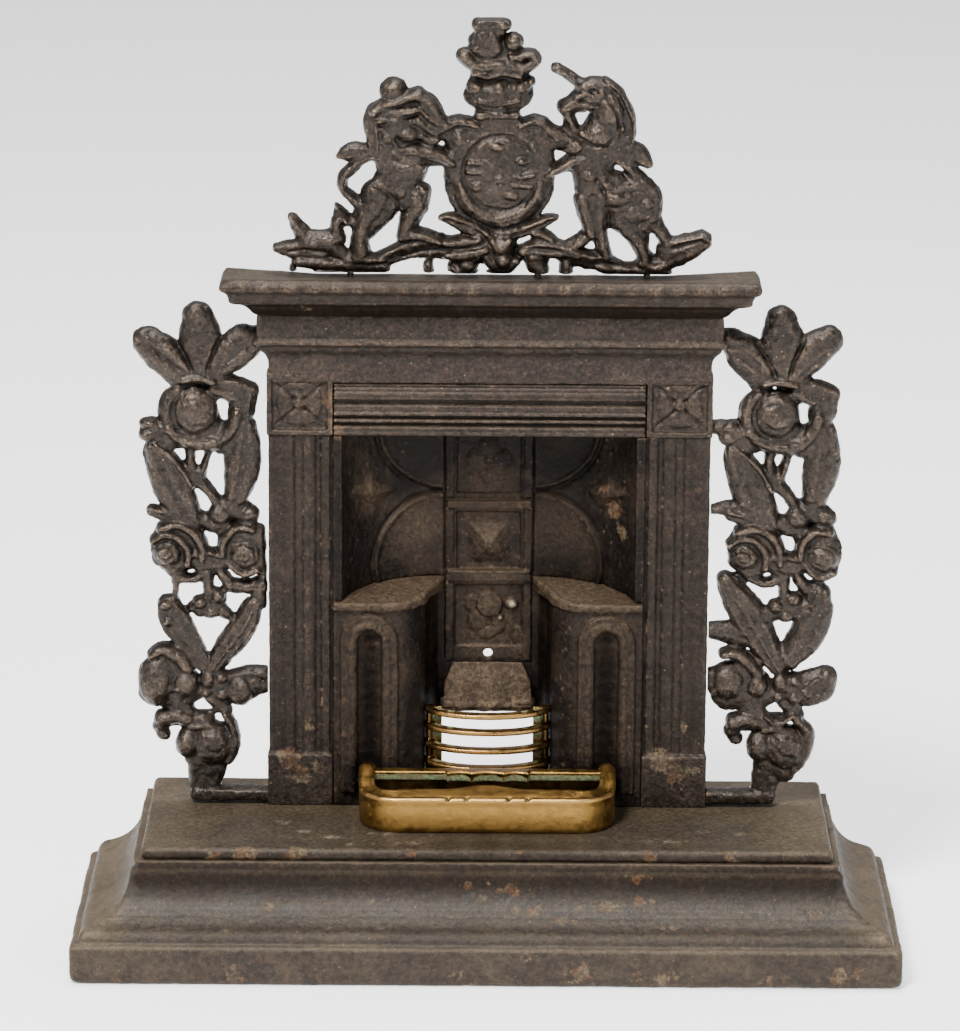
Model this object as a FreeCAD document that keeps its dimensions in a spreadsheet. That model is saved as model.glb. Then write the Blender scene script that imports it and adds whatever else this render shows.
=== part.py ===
"""Miniature cast-iron fireplace mantel with a hob-grate insert, a brass fire front and a loose brass fender.

Frame: millimetres, X to the right, +Y away from the viewer, +Z up. The origin is the centre of the
base's footprint, on the surface that the base stands on.
"""
import FreeCAD, Part
import math
import os
import re

import Sketcher
from FreeCAD import Vector

os.makedirs("parts", exist_ok=True)
doc = FreeCAD.newDocument("fireplace_mantel")

# ---------------------------------------------------------------- driving dimensions

SIZES = {
    # base
    "base_half": 133, "base_front": 47, "base_back": 47, "base_wall": 4, "plinth_top": 35.1,
    "slab_half": 109.5, "slab_front": 26.5, "slab_top": 39,
    # surround
    "block_front": 18.5, "surround_back": 25.5, "jamb_inner": 50.6, "jamb_outer": 72,
    "plinth_block_top": 56.5, "corner_block_base": 164.5, "corner_block_top": 185.5,
    "shaft_front": 19.3, "lintel_base": 164, "lintel_top": 182,
    "cornice_half": 71.4, "cornice_top": 205, "shelf_top": 218.5,
    # insert
    "insert_half": 50.4, "insert_wall": 2.6, "insert_back": 45.5, "hob_top": 106.2,
    "corner_start": 28.7, "corner_end": 20.7, "corner_back": 31.5, "throat_half": 15.8,
    "plate_front": 17.2, "plate_rim": 2.1, "plate_rise": 3, "coving_sag": 8,
    "column_half": 14.6, "column_front": 42.6, "fixing_hole": 1.5875, "fixing_hole_height": 84.3,
    "fireback_half": 15.2, "fireback_top": 82.3, "fireback_foot": 67.5, "fireback_wall": 2.2,
    # brass
    "bar_height": 1.6, "bow_half": 20.2, "bow_front": 19, "bow_back": 32, "post_foot": 46.8, "post_top": 71.2,
    "fender_half": 42, "fender_front": 9.7, "fender_back": 17, "fender_lift": 0.1,
    "fender_wall": 1.8, "fender_shoulder": 49.9, "fender_rim": 52.3, "fender_width": 9,
    # fasteners
    "screw_radius": 1.5, "screw_head_radius": 3, "screw_head_height": 1.8, "pin_radius": 1.1,
    "drill_clearance": 0.1,
    # castings in relief: shared back plane and the heights that the relief stands out from it
    "crest_back": 24.3, "garland_back": 25, "relief_low": 4.5, "relief_mid": 7, "relief_high": 9.5,
    "garland_shift": 187.6,
}

sheet = doc.addObject("Spreadsheet::Sheet", "Sizes")
for row, (alias, number) in enumerate(SIZES.items(), start=1):
    sheet.set(f"A{row}", alias)
    sheet.set(f"B{row}", str(number))
    sheet.setAlias(f"B{row}", alias)
doc.recompute()


def bound(expression):
    """The expression with each of the sheet's aliases written as a reference to its cell."""
    def cell(word):
        return f"Sizes.{word[0]}" if word[0] in SIZES else word[0]

    return re.sub(r"[a-z_]{4,}", cell, str(expression))


def size(expression):
    """The number that an expression in the sheet's aliases stands for, in millimetres."""
    result = sheet.evalExpression(bound(expression))
    return float(getattr(result, "Value", result))


# ---------------------------------------------------------------- sketch and feature helpers

PLANE_SIGN = {"XY": 1, "XZ": -1, "YZ": 1}     # a sketch on XZ faces -Y, so offsets along Y change sign


def body_plane(body, plane):
    return next(item for item in body.Origin.OriginFeatures if item.Role == f"{plane}_Plane")


def draw(sketch, corners):
    """A closed outline. Each corner is (x, y) or (x, y, bulge), where bulge bends the edge to the next one.

    bulge is the edge's sagitta over half its chord: a positive one swells to the edge's right-hand side.
    """
    numbers = [(size(corner[0]), size(corner[1])) for corner in corners]
    total = len(corners)
    for index, corner in enumerate(corners):
        (ax, ay), (bx, by) = numbers[index], numbers[(index + 1) % total]
        start, end = Vector(ax, ay, 0), Vector(bx, by, 0)
        bulge = corner[2] if len(corner) > 2 else 0
        if bulge:
            side = Vector(by - ay, ax - bx, 0) * (bulge / 2)
            sketch.addGeometry(Part.Arc(start, (start + end) * 0.5 + side, end))
        else:
            sketch.addGeometry(Part.LineSegment(start, end))
    first_point = [edge_start(sketch, index, numbers[index]) for index in range(total)]
    for index in range(total):
        before = (index - 1) % total
        before_end = 3 - first_point[before]
        sketch.addConstraint(Sketcher.Constraint("Coincident", before, before_end, index, first_point[index]))
    for index, corner in enumerate(corners):
        for kind, expression, number in (("DistanceX", corner[0], numbers[index][0]),
                                         ("DistanceY", corner[1], numbers[index][1])):
            place = sketch.addConstraint(Sketcher.Constraint(kind, -1, 1, index, first_point[index], number))
            sketch.setExpression(f"Constraints[{place}]", bound(expression))
        if len(corner) > 2:
            after = corners[(index + 1) % total]
            chord = f"sqrt((({after[0]})-({corner[0]}))^2+(({after[1]})-({corner[1]}))^2)"
            bend = abs(corner[2])
            radius = f"{chord}*{(1 + bend ** 2) / (4 * bend)}"
            place = sketch.addConstraint(Sketcher.Constraint("Radius", index, size(radius)))
            sketch.setExpression(f"Constraints[{place}]", bound(radius))


def edge_start(sketch, index, point):
    """Which end of an edge, 1 or 2, lies at a point: an arc keeps its ends in turning order."""
    first = sketch.getPoint(index, 1)
    return 1 if math.hypot(first.x - point[0], first.y - point[1]) < 1e-6 else 2


def new_body(label):
    body = doc.addObject("PartDesign::Body", label)
    body.Label = label
    return body


def sketch_on(body, plane, corners, offset):
    sketch = body.newObject("Sketcher::SketchObject", f"{body.Name}_outline")
    sketch.AttachmentSupport = (body_plane(body, plane), [""])
    sketch.MapMode = "FlatFace"
    sketch.setExpression("AttachmentOffset.Base.z", bound(f"{PLANE_SIGN[plane]}*({offset})"))
    draw(sketch, corners)
    doc.recompute()
    return sketch


def pad(body, plane, corners, start, depth):
    """Adds a prism that grows along +X or +Z, or towards the viewer, from a plane at start."""
    feature = body.newObject("PartDesign::Pad", f"{body.Name}_pad")
    feature.Profile = sketch_on(body, plane, corners, start)
    feature.setExpression("Length", bound(depth))
    doc.recompute()
    return feature


def pocket(body, plane, corners, start, depth):
    """Cuts a prism that goes down, towards -X or away from the viewer, from a plane at start."""
    before = body.Shape.Volume
    feature = body.newObject("PartDesign::Pocket", f"{body.Name}_pocket")
    feature.Profile = sketch_on(body, plane, corners, start)
    feature.setExpression("Length", bound(depth))
    doc.recompute()
    if not body.Shape.Volume < before:
        raise RuntimeError(f"{body.Label}: a pocket removed nothing")
    return feature


def rectangle(x_low, y_low, x_high, y_high):
    return [(x_low, y_low), (x_high, y_low), (x_high, y_high), (x_low, y_high)]


def cylinder(label, radius, height, place, direction=Vector(0, 0, 1)):
    """A round bar from place along direction, with sizes and place as expressions."""
    bar = doc.addObject("Part::Cylinder", label)
    bar.Placement.Rotation = FreeCAD.Rotation(Vector(0, 0, 1), direction)
    bar.setExpression("Radius", bound(radius))
    bar.setExpression("Height", bound(height))
    for axis, expression in zip("xyz", place):
        bar.setExpression(f"Placement.Base.{axis}", bound(expression))
    return bar


def cut(label, base, tool):
    result = doc.addObject("Part::Cut", label)
    result.Base, result.Tool = base, tool
    result.Label = label
    return result


def fuse(label, pieces):
    if len(pieces) == 1:
        return pieces[0]
    result = doc.addObject("Part::MultiFuse", label)
    result.Shapes = pieces
    result.Label = label
    return result


def group(label, pieces):
    """Separate identical solids that share one node."""
    result = doc.addObject("Part::Compound", label)
    result.Links = pieces
    result.Label = label
    return result


def moulded_slab(label, half, front, back, profile):
    """A slab with a flat back whose moulded edge runs round both sides and the front, mitred at the corners.

    profile lists (out, z) or (out, z, bulge) corners from the bottom up, out being the distance beyond
    half and front. A positive bulge swells outwards and a negative one is a hollow.
    """
    spare = 2
    reach = max(size(corner[0]) for corner in profile) + spare
    low, high = profile[0][1], profile[-1][1]
    body = new_body(label)
    section = [(f"-({front})-({corner[0]})", corner[1], *[-bend for bend in corner[2:]])
               for corner in profile]
    section += [(back, high), (back, low)]
    width = f"({half})+{reach}"
    pad(body, "YZ", section, f"-({width})", f"2*({width})")
    for side in (-1, 1):
        waste = [(f"{side}*(({half})+({profile[0][0]}))", f"({low})-{spare}")]
        waste += [(f"{side}*(({half})+({corner[0]}))", corner[1], *[side * bend for bend in corner[2:]])
                  for corner in profile]
        waste += [(f"{side}*(({half})+({profile[-1][0]}))", f"({high})+{spare}"),
                  (f"{side}*(({half})+{reach + spare})", f"({high})+{spare}"),
                  (f"{side}*(({half})+{reach + spare})", f"({low})-{spare}")]
        pocket(body, "XZ", waste, f"-({front})-{reach}", f"({front})+({back})+{reach + spare}")
    return body


nodes = {}


def keep(node, feature):
    feature.Label = node
    nodes[node] = feature
    return feature


# ---------------------------------------------------------------- base: hollow moulded plinth and hearth slab

BASE_OUT = 20.5
BASE_EDGE = [
    (BASE_OUT, 0), (BASE_OUT, 11.2, 0.3), (19.4, 12.8), (17.8, 12.8, 0.35), (15, 16.8, -0.36),
    (2.2, 29.5), (2.2, 31.3), (1, 32), (1, "plinth_top"),
]
SLAB_EDGE = [(-0.4, "plinth_top"), (0, 36.1), (0, 37.6, 0.35), (-1.4, "slab_top")]

RIM_HOLLOW_TOP = 10

base = moulded_slab("base_plinth", f"base_half-{BASE_OUT}", f"base_front-{BASE_OUT}", "base_back", BASE_EDGE)
rim_hollow = rectangle("-base_half+base_wall+3", "-base_front+base_wall+3",
                       "base_half-base_wall-3", "base_back-base_wall")
pocket(base, "XY", rim_hollow, RIM_HOLLOW_TOP, RIM_HOLLOW_TOP + 1)
upper_hollow = rectangle("-slab_half+base_wall", "-slab_front+base_wall",
                         "slab_half-base_wall", "base_back-base_wall")
pocket(base, "XY", upper_hollow, "plinth_top-base_wall", "plinth_top-base_wall")
slab = moulded_slab("hearth_slab", "slab_half", "slab_front", "base_back", SLAB_EDGE)


# ---------------------------------------------------------------- fasteners' places

FOOT_SCREWS = [(side * across, 22) for side in (-1, 1) for across in (54.5, 67.5)]
CREST_PINS = [(-45, 22), (15, 22), (50, 22)]
SHELF_STUDS = [(-61, 21.5), (61, 21.5)]
FOOT_SCREW_LENGTH = 20
SHELF_STUD_LENGTH = 34


def drill(label, base_feature, places, radius, low, high):
    """Vertical clearance holes through a piece, between two heights."""
    bars = [cylinder(f"{label}_drill", f"{radius}+drill_clearance", f"({high})-({low})", (x, y, low))
            for x, y in places]
    return cut(label, base_feature, fuse(f"{label}_drills", bars))


def screw(label, x, y, low, length):
    """A countersunk-style screw standing head down, its head's flat face at low."""
    head = cylinder(f"{label}_head", "screw_head_radius", "screw_head_height", (x, y, low))
    shank = cylinder(f"{label}_shank", "screw_radius", length, (x, y, low))
    return fuse(f"{label}_one", [head, shank])


plinth_drilled = drill("base_plinth_drilled", base, FOOT_SCREWS, "screw_radius", 30, "plinth_top+2")
keep("base_plinth", plinth_drilled)
slab_drilled = drill("hearth_slab_drilled", slab, FOOT_SCREWS, "screw_radius", "plinth_top-1", "slab_top+1")
keep("hearth_slab", slab_drilled)
foot_low = "plinth_top-base_wall-screw_head_height"
foot_screws = [screw("foot_screw", x, y, foot_low, FOOT_SCREW_LENGTH) for x, y in FOOT_SCREWS]
keep("foot_screws", group("foot_screws", foot_screws))


# ---------------------------------------------------------------- surround: jambs, lintel, cornice, shelf

SHAFT_INNER, SHAFT_OUTER = 51, 71.2
FLUTES = [(1.8, 1.4), (8.2, 3.6), (17, 1.4)]      # distance from the shaft's left edge, and width
CORNER_X, CORNER_Z = 61.3, 175
PANEL_HALF, PANEL_LOW, PANEL_HIGH, PANEL_DEPTH = 8.6, 166.9, 182.9, 1.2
BOSS_RADIUS, PETAL_REACH = 2.2, 6


def jamb(node, side):
    """A pilaster: plinth block, reeded shaft, corner block with a framed panel, all one casting."""
    body = new_body(f"{node}_casting")
    edges = ("jamb_inner", "jamb_outer") if side > 0 else ("-jamb_outer", "-jamb_inner")
    block = rectangle(edges[0], "block_front", edges[1], "surround_back")
    pad(body, "XY", block, "slab_top", "plinth_block_top-slab_top")
    low, high = sorted((side * SHAFT_INNER, side * SHAFT_OUTER))
    shaft = [(low, "surround_back"), (low, "shaft_front")]
    for offset, width in FLUTES:
        shaft += [(low + offset, "shaft_front", -0.6), (low + offset + width, "shaft_front")]
    shaft += [(high, "shaft_front"), (high, "surround_back")]
    pad(body, "XY", shaft, "plinth_block_top", "corner_block_base-plinth_block_top")
    pad(body, "XY", block, "corner_block_base", "corner_block_top-corner_block_base")
    middle = side * CORNER_X
    panel = rectangle(middle - PANEL_HALF, PANEL_LOW, middle + PANEL_HALF, PANEL_HIGH)
    pocket(body, "XZ", panel, "block_front", PANEL_DEPTH)
    boss_place = (middle, "block_front-0.4", CORNER_Z)
    boss = cylinder(f"{node}_boss", BOSS_RADIUS, 2.2, boss_place, Vector(0, 1, 0))
    tips = [(middle + PETAL_REACH * east, CORNER_Z + PETAL_REACH * north) for east in (-1, 1) for north in (-1, 1)]
    petals = [limb_prism(middle, CORNER_Z, 1.1, *tip, 2.1, "block_front+1.4", 1.8) for tip in tips]
    flower = part_shape(f"{node}_petals", petals)
    whole = fuse(f"{node}_whole", [body, boss, flower])
    feet = [(x, y) for x, y in FOOT_SCREWS if x * side > 0]
    heads = [(x, y) for x, y in SHELF_STUDS if x * side > 0]
    drilled = drill(f"{node}_foot_drilled", whole, feet, "screw_radius", 38, "plinth_block_top-4")
    drilled = drill(f"{node}_head_drilled", drilled, heads, "screw_radius",
                    "corner_block_top-9", "corner_block_top+1")
    return keep(node, drilled)


def limb_prism(x1, z1, r1, x2, z2, r2, back, thickness):
    """A flat-faced tapering bar between two round ends, standing out from a back plane by a thickness."""
    span = math.hypot(x2 - x1, z2 - z1)
    y = size(back)
    if span <= abs(r1 - r2) + 0.01:
        x, z, radius = (x1, z1, r1) if r1 > r2 else (x2, z2, r2)
        outline = [Part.Circle(Vector(x, y, z), Vector(0, 1, 0), radius).toShape()]
    else:
        heading = math.atan2(z2 - z1, x2 - x1)
        spread = math.acos((r1 - r2) / span)

        def rim(x, z, radius, angle):
            return Vector(x + radius * math.cos(angle), y, z + radius * math.sin(angle))

        left1, right1 = rim(x1, z1, r1, heading + spread), rim(x1, z1, r1, heading - spread)
        left2, right2 = rim(x2, z2, r2, heading + spread), rim(x2, z2, r2, heading - spread)
        outline = [Part.Arc(left1, rim(x1, z1, r1, heading + math.pi), right1).toShape(),
                   Part.LineSegment(right1, right2).toShape(),
                   Part.Arc(right2, rim(x2, z2, r2, heading), left2).toShape(),
                   Part.LineSegment(left2, left1).toShape()]
    return Part.Face(Part.Wire(outline)).extrude(Vector(0, -size(thickness), 0))


def part_shape(name, solids):
    """A document object that holds solids worked out above, joined into one."""
    feature = doc.addObject("Part::Feature", name)
    feature.Shape = solids[0].multiFuse(solids[1:]) if len(solids) > 1 else solids[0]
    return feature


for name, hand in (("left_jamb", -1), ("right_jamb", 1)):
    jamb(name, hand)

lintel = new_body("lintel")
LINTEL_HOLLOWS = [(165.2, 166.4), (168.6, 170.6), (172.4, 173.4), (175, 178), (179.6, 180.6)]
lintel_section = [("surround_back", "lintel_base"), ("shaft_front", "lintel_base")]
for low, high in LINTEL_HOLLOWS:
    lintel_section += [("shaft_front", low, 0.6), ("shaft_front", high)]
lintel_section += [("shaft_front", "lintel_top"), ("surround_back", "lintel_top")]
pad(lintel, "YZ", lintel_section, "-jamb_inner", "2*jamb_inner")
keep("lintel", lintel)

CORNICE_EDGE = [
    (-0.6, "lintel_top"), (0, 187, -0.3), (3.2, 193.6), (3.2, 194.6, 0.6), (3.4, 198), (3.4, "cornice_top"),
]
SHELF_EDGE = [
    (3.4, "cornice_top"), (4.4, 206, -0.25), (10.3, 210.4), (11.2, 210.9), (11.2, 213.6),
    (13.2, 214.6, 0.7), (12.6, "shelf_top"),
]
CORNICE_REACH = 4.6
cornice = moulded_slab("cornice", "cornice_half", "-block_front", "surround_back", CORNICE_EDGE)
for side in (-1, 1):
    low_x, high_x = sorted((side * size("jamb_inner"), side * (size("jamb_outer") + 1)))
    jamb_seat = rectangle(low_x, "block_front-0.1", high_x, "surround_back+1")
    pocket(cornice, "XY", jamb_seat, "corner_block_top", "corner_block_top-lintel_top+1")
shelf = moulded_slab("mantel_shelf", "cornice_half", "-block_front", "surround_back", SHELF_EDGE)

keep("entablature", drill("entablature_drilled", cornice, SHELF_STUDS, "screw_radius",
                          "lintel_top-2", "cornice_top+1"))
shelf_holes = [cylinder("shelf_stud_drill", "screw_radius+drill_clearance", 8, (x, y, "cornice_top-1"))
               for x, y in SHELF_STUDS]
shelf_holes += [cylinder("crest_pin_drill", "pin_radius+drill_clearance", 9, (x, y, "shelf_top-5"))
                for x, y in CREST_PINS]
keep("mantel_shelf", cut("mantel_shelf_drilled", shelf, fuse("mantel_shelf_drills", shelf_holes)))
studs = [cylinder("shelf_stud", "screw_radius", SHELF_STUD_LENGTH, (x, y, "corner_block_top-8.5"))
         for x, y in SHELF_STUDS]
keep("shelf_studs", group("shelf_studs", studs))


# ---------------------------------------------------------------- insert: hobs, covings, back, fireback

def mirrored(corners, side):
    """Plan corners written for the right-hand piece, turned over for the left-hand one."""
    if side > 0:
        return corners
    return [(f"-({corner[0]})", corner[1], *[-bend for bend in corner[2:]]) for corner in corners]


HOB_MIDDLE, ARCH_SPRING, ARCH_FOOT, ARCH_OUTER, ARCH_INNER = 38.7, 95.2, 47, 9.4, 4
HALF_ROUND = 0.97                                # just under a true semicircle


def arch(middle, half, foot):
    """A round-headed outline on the hob's front."""
    return [(middle - half, foot), (middle + half, foot),
            (middle + half, ARCH_SPRING, HALF_ROUND), (middle - half, ARCH_SPRING)]


def hob(node, side):
    """A hollow hob: flat front with a raised arched moulding, rounded inner corner, splayed cheek."""
    wall = "insert_wall"
    plan = [("insert_half", "block_front"), ("insert_half", f"block_front+{wall}"),
            ("corner_start", f"block_front+{wall}", -0.3), (f"corner_end+{wall}", "corner_back"),
            (f"throat_half+{wall}", "insert_back"), ("throat_half", "insert_back"),
            ("corner_end", "corner_back", 0.3), ("corner_start", "block_front")]
    body = new_body(f"{node}_casting")
    pad(body, "XY", mirrored(plan, side), "slab_top", "hob_top-slab_top")
    middle = side * HOB_MIDDLE
    pad(body, "XZ", arch(middle, ARCH_OUTER, ARCH_FOOT), "block_front+0.1", 1.4)
    pocket(body, "XZ", arch(middle, ARCH_INNER, ARCH_FOOT + 3), "block_front-2", 3)
    return keep(node, body)


def slope_cut(label, base_feature, side, above):
    """Cuts a piece along the hob top's slope, which rises towards the back; above says which part goes."""
    rim, far = "hob_top+plate_rim", "hob_top+plate_rim+plate_rise"
    reach = "hob_top+30" if above else "hob_top-30"
    corners = [("plate_front", rim), ("base_back", far), ("base_back", reach), ("plate_front", reach)]
    waste = new_body(f"{label}_waste")
    pad(waste, "YZ", corners, "-jamb_inner" if side < 0 else 0, "jamb_inner")
    return cut(label, base_feature, waste)


def hob_plate(node, side):
    """The hob's top plate: overhanging rounded front lip, top face rising towards the back."""
    plan = [("insert_half", "plate_front"), ("insert_half", "insert_back"), ("column_half", "insert_back"),
            ("column_half", "insert_back-3"), ("corner_end-1", "corner_back-0.5", 0.3),
            ("corner_start", "plate_front")]
    body = new_body(f"{node}_casting")
    pad(body, "XY", mirrored(plan, side), "hob_top", 8)
    return keep(node, slope_cut(f"{node}_sloped", body, side, above=True))


def coving(node, side):
    """The curved cheek above the hob, with a round panel and a pointed boss in relief."""
    bend = size("2*coving_sag") / math.hypot(size("insert_half-column_half"), size("insert_back-20"))
    plan = [("insert_half", 19.6), ("insert_half", 22.4, bend), ("column_half", "insert_back"),
            ("column_half", "insert_back-insert_wall", -bend), ("insert_half-insert_wall", 19.6)]
    body = new_body(f"{node}_casting")
    pad(body, "XY", mirrored(plan, side), "hob_top-1", "lintel_base-hob_top+1")
    return keep(node, slope_cut(f"{node}_sloped", body, side, above=False))


for name, hand in (("left", -1), ("right", 1)):
    hob(f"{name}_hob", hand)
    hob_plate(f"{name}_hob_plate", hand)
    coving(f"{name}_coving", hand)

COLUMN_FOOT = 80.5
PANELS = [(11, 87, 108), (10.5, 113.5, 133), (10.5, 139, 162)]       # half width, bottom, top
LEDGES = [(109.8, 111.7, 2), (134.6, 137, 2.4)]                      # bottom, top, how far it stands out
PANEL_SINK = 0.9
PYRAMID_HALF, PYRAMID_TIP, PYRAMID_RISE, PYRAMID_HEIGHT = 7, 0.6, 3.4, 122.4

back = new_body("centre_back")
column = rectangle("-column_half", COLUMN_FOOT, "column_half", "lintel_base")
pad(back, "XZ", column, "insert_back", "insert_back-column_front")
for half, low, high in PANELS:
    pocket(back, "XZ", rectangle(-half, low, half, high), "column_front", PANEL_SINK)
for low, high, stand in LEDGES:
    ledge = rectangle("-column_half+0.8", low, "column_half-0.8", high)
    pad(back, "XZ", ledge, "column_front+0.2", f"{stand}+0.2")
pyramid = doc.addObject("Part::Wedge", "pyramid_boss")
pyramid.Xmin = pyramid.Zmin = -PYRAMID_HALF
pyramid.Xmax = pyramid.Zmax = PYRAMID_HALF
pyramid.X2min = pyramid.Z2min = -PYRAMID_TIP
pyramid.X2max = pyramid.Z2max = PYRAMID_TIP
pyramid.Ymin, pyramid.Ymax = 0, PYRAMID_RISE
pyramid.Placement.Rotation = FreeCAD.Rotation(Vector(0, 0, 1), 180)
pyramid.setExpression("Placement.Base.y", bound(f"column_front+{PANEL_SINK}"))
pyramid.setExpression("Placement.Base.z", str(PYRAMID_HEIGHT))
fixing_place = (0, "column_front-4", "fixing_hole_height")
fixing = cylinder("fixing_hole_drill", "fixing_hole", 12, fixing_place, Vector(0, 1, 0))
keep("centre_back", cut("centre_back_drilled", fuse("centre_back_whole", [back, pyramid]), fixing))

# The fireback leans forward from just in front of the column down to its ragged foot above the fire.
fireback = new_body("fireback")
TOP_Y, FOOT_Y = 40, 36
side_view = [(TOP_Y, "fireback_top"), (FOOT_Y, "fireback_foot"), (f"{FOOT_Y}+fireback_wall", "fireback_foot"),
             (f"{TOP_Y}+fireback_wall", "fireback_top-1")]
pad(fireback, "YZ", side_view, "-fireback_half-1", "2*fireback_half+2")
TOP_CORNER_HALF, SHOULDER_HALF, SHOULDER_HEIGHT = 11.4, 14.2, 76
for side in (-1, 1):
    clear = f"{side}*(fireback_half+5)"
    waste = [(side * TOP_CORNER_HALF, "fireback_top+2"), (side * TOP_CORNER_HALF, "fireback_top"),
             (side * SHOULDER_HALF, SHOULDER_HEIGHT), (f"{side}*fireback_half", "fireback_foot-1.5"),
             (clear, "fireback_foot-1.5"), (clear, "fireback_top+2")]
    pocket(fireback, "XZ", waste, FOOT_Y - 6, 20)
keep("fireback", fireback)


# ---------------------------------------------------------------- brass: bowed fire front and loose fender

BAR_HEIGHTS = (51.5, 57.4, 64, 69.9)
BAR_DEPTH = 2.8
POST_INNER = 17.6


def bow(inset):
    """The bow in plan from its right end to its left end: tight near the ends, flatter in front."""
    front = f"bow_front+2.4+{inset}"
    return [(f"bow_half-{inset}", "bow_back", -0.24), (f"12.5-{inset}*0.6", front, -0.16),
            (f"-12.5+{inset}*0.6", front, -0.24), (f"-bow_half+{inset}", "bow_back")]


def run_back(corners):
    """An open line run the other way, so that an inner edge can close an outline."""
    bends = [-corner[2] for corner in corners[-2::-1]]
    places = [(x, y) for x, y, *_ in reversed(corners)]
    return [(*place, bend) for place, bend in zip(places, bends)] + places[-1:]


grate_pieces = []
for height in BAR_HEIGHTS:
    bar = new_body("grate_bar")
    pad(bar, "XY", bow(0) + run_back(bow(BAR_DEPTH)), f"{height}-bar_height/2", "bar_height")
    grate_pieces.append(bar)
for side in (-1, 1):
    post = new_body("grate_post")
    low, high = sorted((side * POST_INNER, side * size("bow_half")))
    pad(post, "XY", rectangle(low, "bow_back-2.2", high, "bow_back+0.6"), "post_foot", "post_top-post_foot")
    grate_pieces.append(post)
keep("grate_front", fuse("grate_front", grate_pieces))


QUARTER_ROUND = math.tan(math.pi / 8)            # bulge of an arc that turns by a right angle


def fender_plan(inset, back_edge):
    """The fender's D-shaped plan: straight back, square back corners, rounded front corners."""
    side, front = f"fender_half-{inset}", f"-fender_front+{inset}"
    turn = f"max(12-{inset};1.5)"
    return [(side, back_edge), (f"-({side})", back_edge), (f"-({side})", f"{front}+{turn}", QUARTER_ROUND),
            (f"-({side})+{turn}", front), (f"{side}-{turn}", front, QUARTER_ROUND), (side, f"{front}+{turn}")]


def loft(label, low_corners, low, high_corners, high):
    """A straight-sided solid between two outlines at two heights."""
    sections = []
    for corners, height in ((low_corners, low), (high_corners, high)):
        sketch = doc.addObject("Sketcher::SketchObject", f"{label}_section")
        sketch.setExpression("Placement.Base.z", bound(height))
        draw(sketch, corners)
        sections.append(sketch)
    solid = doc.addObject("Part::Loft", label)
    solid.Sections, solid.Solid, solid.Ruled = sections, True, True
    return solid


fender_base = "slab_top+fender_lift"
ceiling = "fender_shoulder-fender_wall"
outside, inside = fender_plan(0, "fender_back"), fender_plan("fender_wall", "fender_back-fender_wall")
wall_outside = new_body("fender_outside")
pad(wall_outside, "XY", outside, fender_base, f"fender_shoulder-({fender_base})")
slope_outside = loft("fender_slope", outside, "fender_shoulder",
                     fender_plan("fender_width", "fender_back"), "fender_rim")
wall_inside = new_body("fender_inside")
pad(wall_inside, "XY", inside, f"{fender_base}-1", f"{ceiling}-({fender_base})+1")
slope_inside = loft("fender_slope_inside", inside, ceiling,
                    fender_plan("fender_width", "fender_back-fender_wall"), "fender_rim-fender_wall")
well = new_body("fender_well")
well_plan = rectangle("-fender_half+fender_width", "-fender_front+fender_width",
                      "fender_half-fender_width", "fender_back-6")
pad(well, "XY", well_plan, fender_base, "fender_rim-slab_top+6")
skin = fuse("fender_skin", [wall_outside, slope_outside])
hollow = fuse("fender_hollow", [wall_inside, slope_inside, well])
keep("fender", cut("fender_shell", skin, hollow))


# ---------------------------------------------------------------- castings in relief: crest and garlands

LOW, MID, HIGH = "relief_low", "relief_mid", "relief_high"

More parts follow.
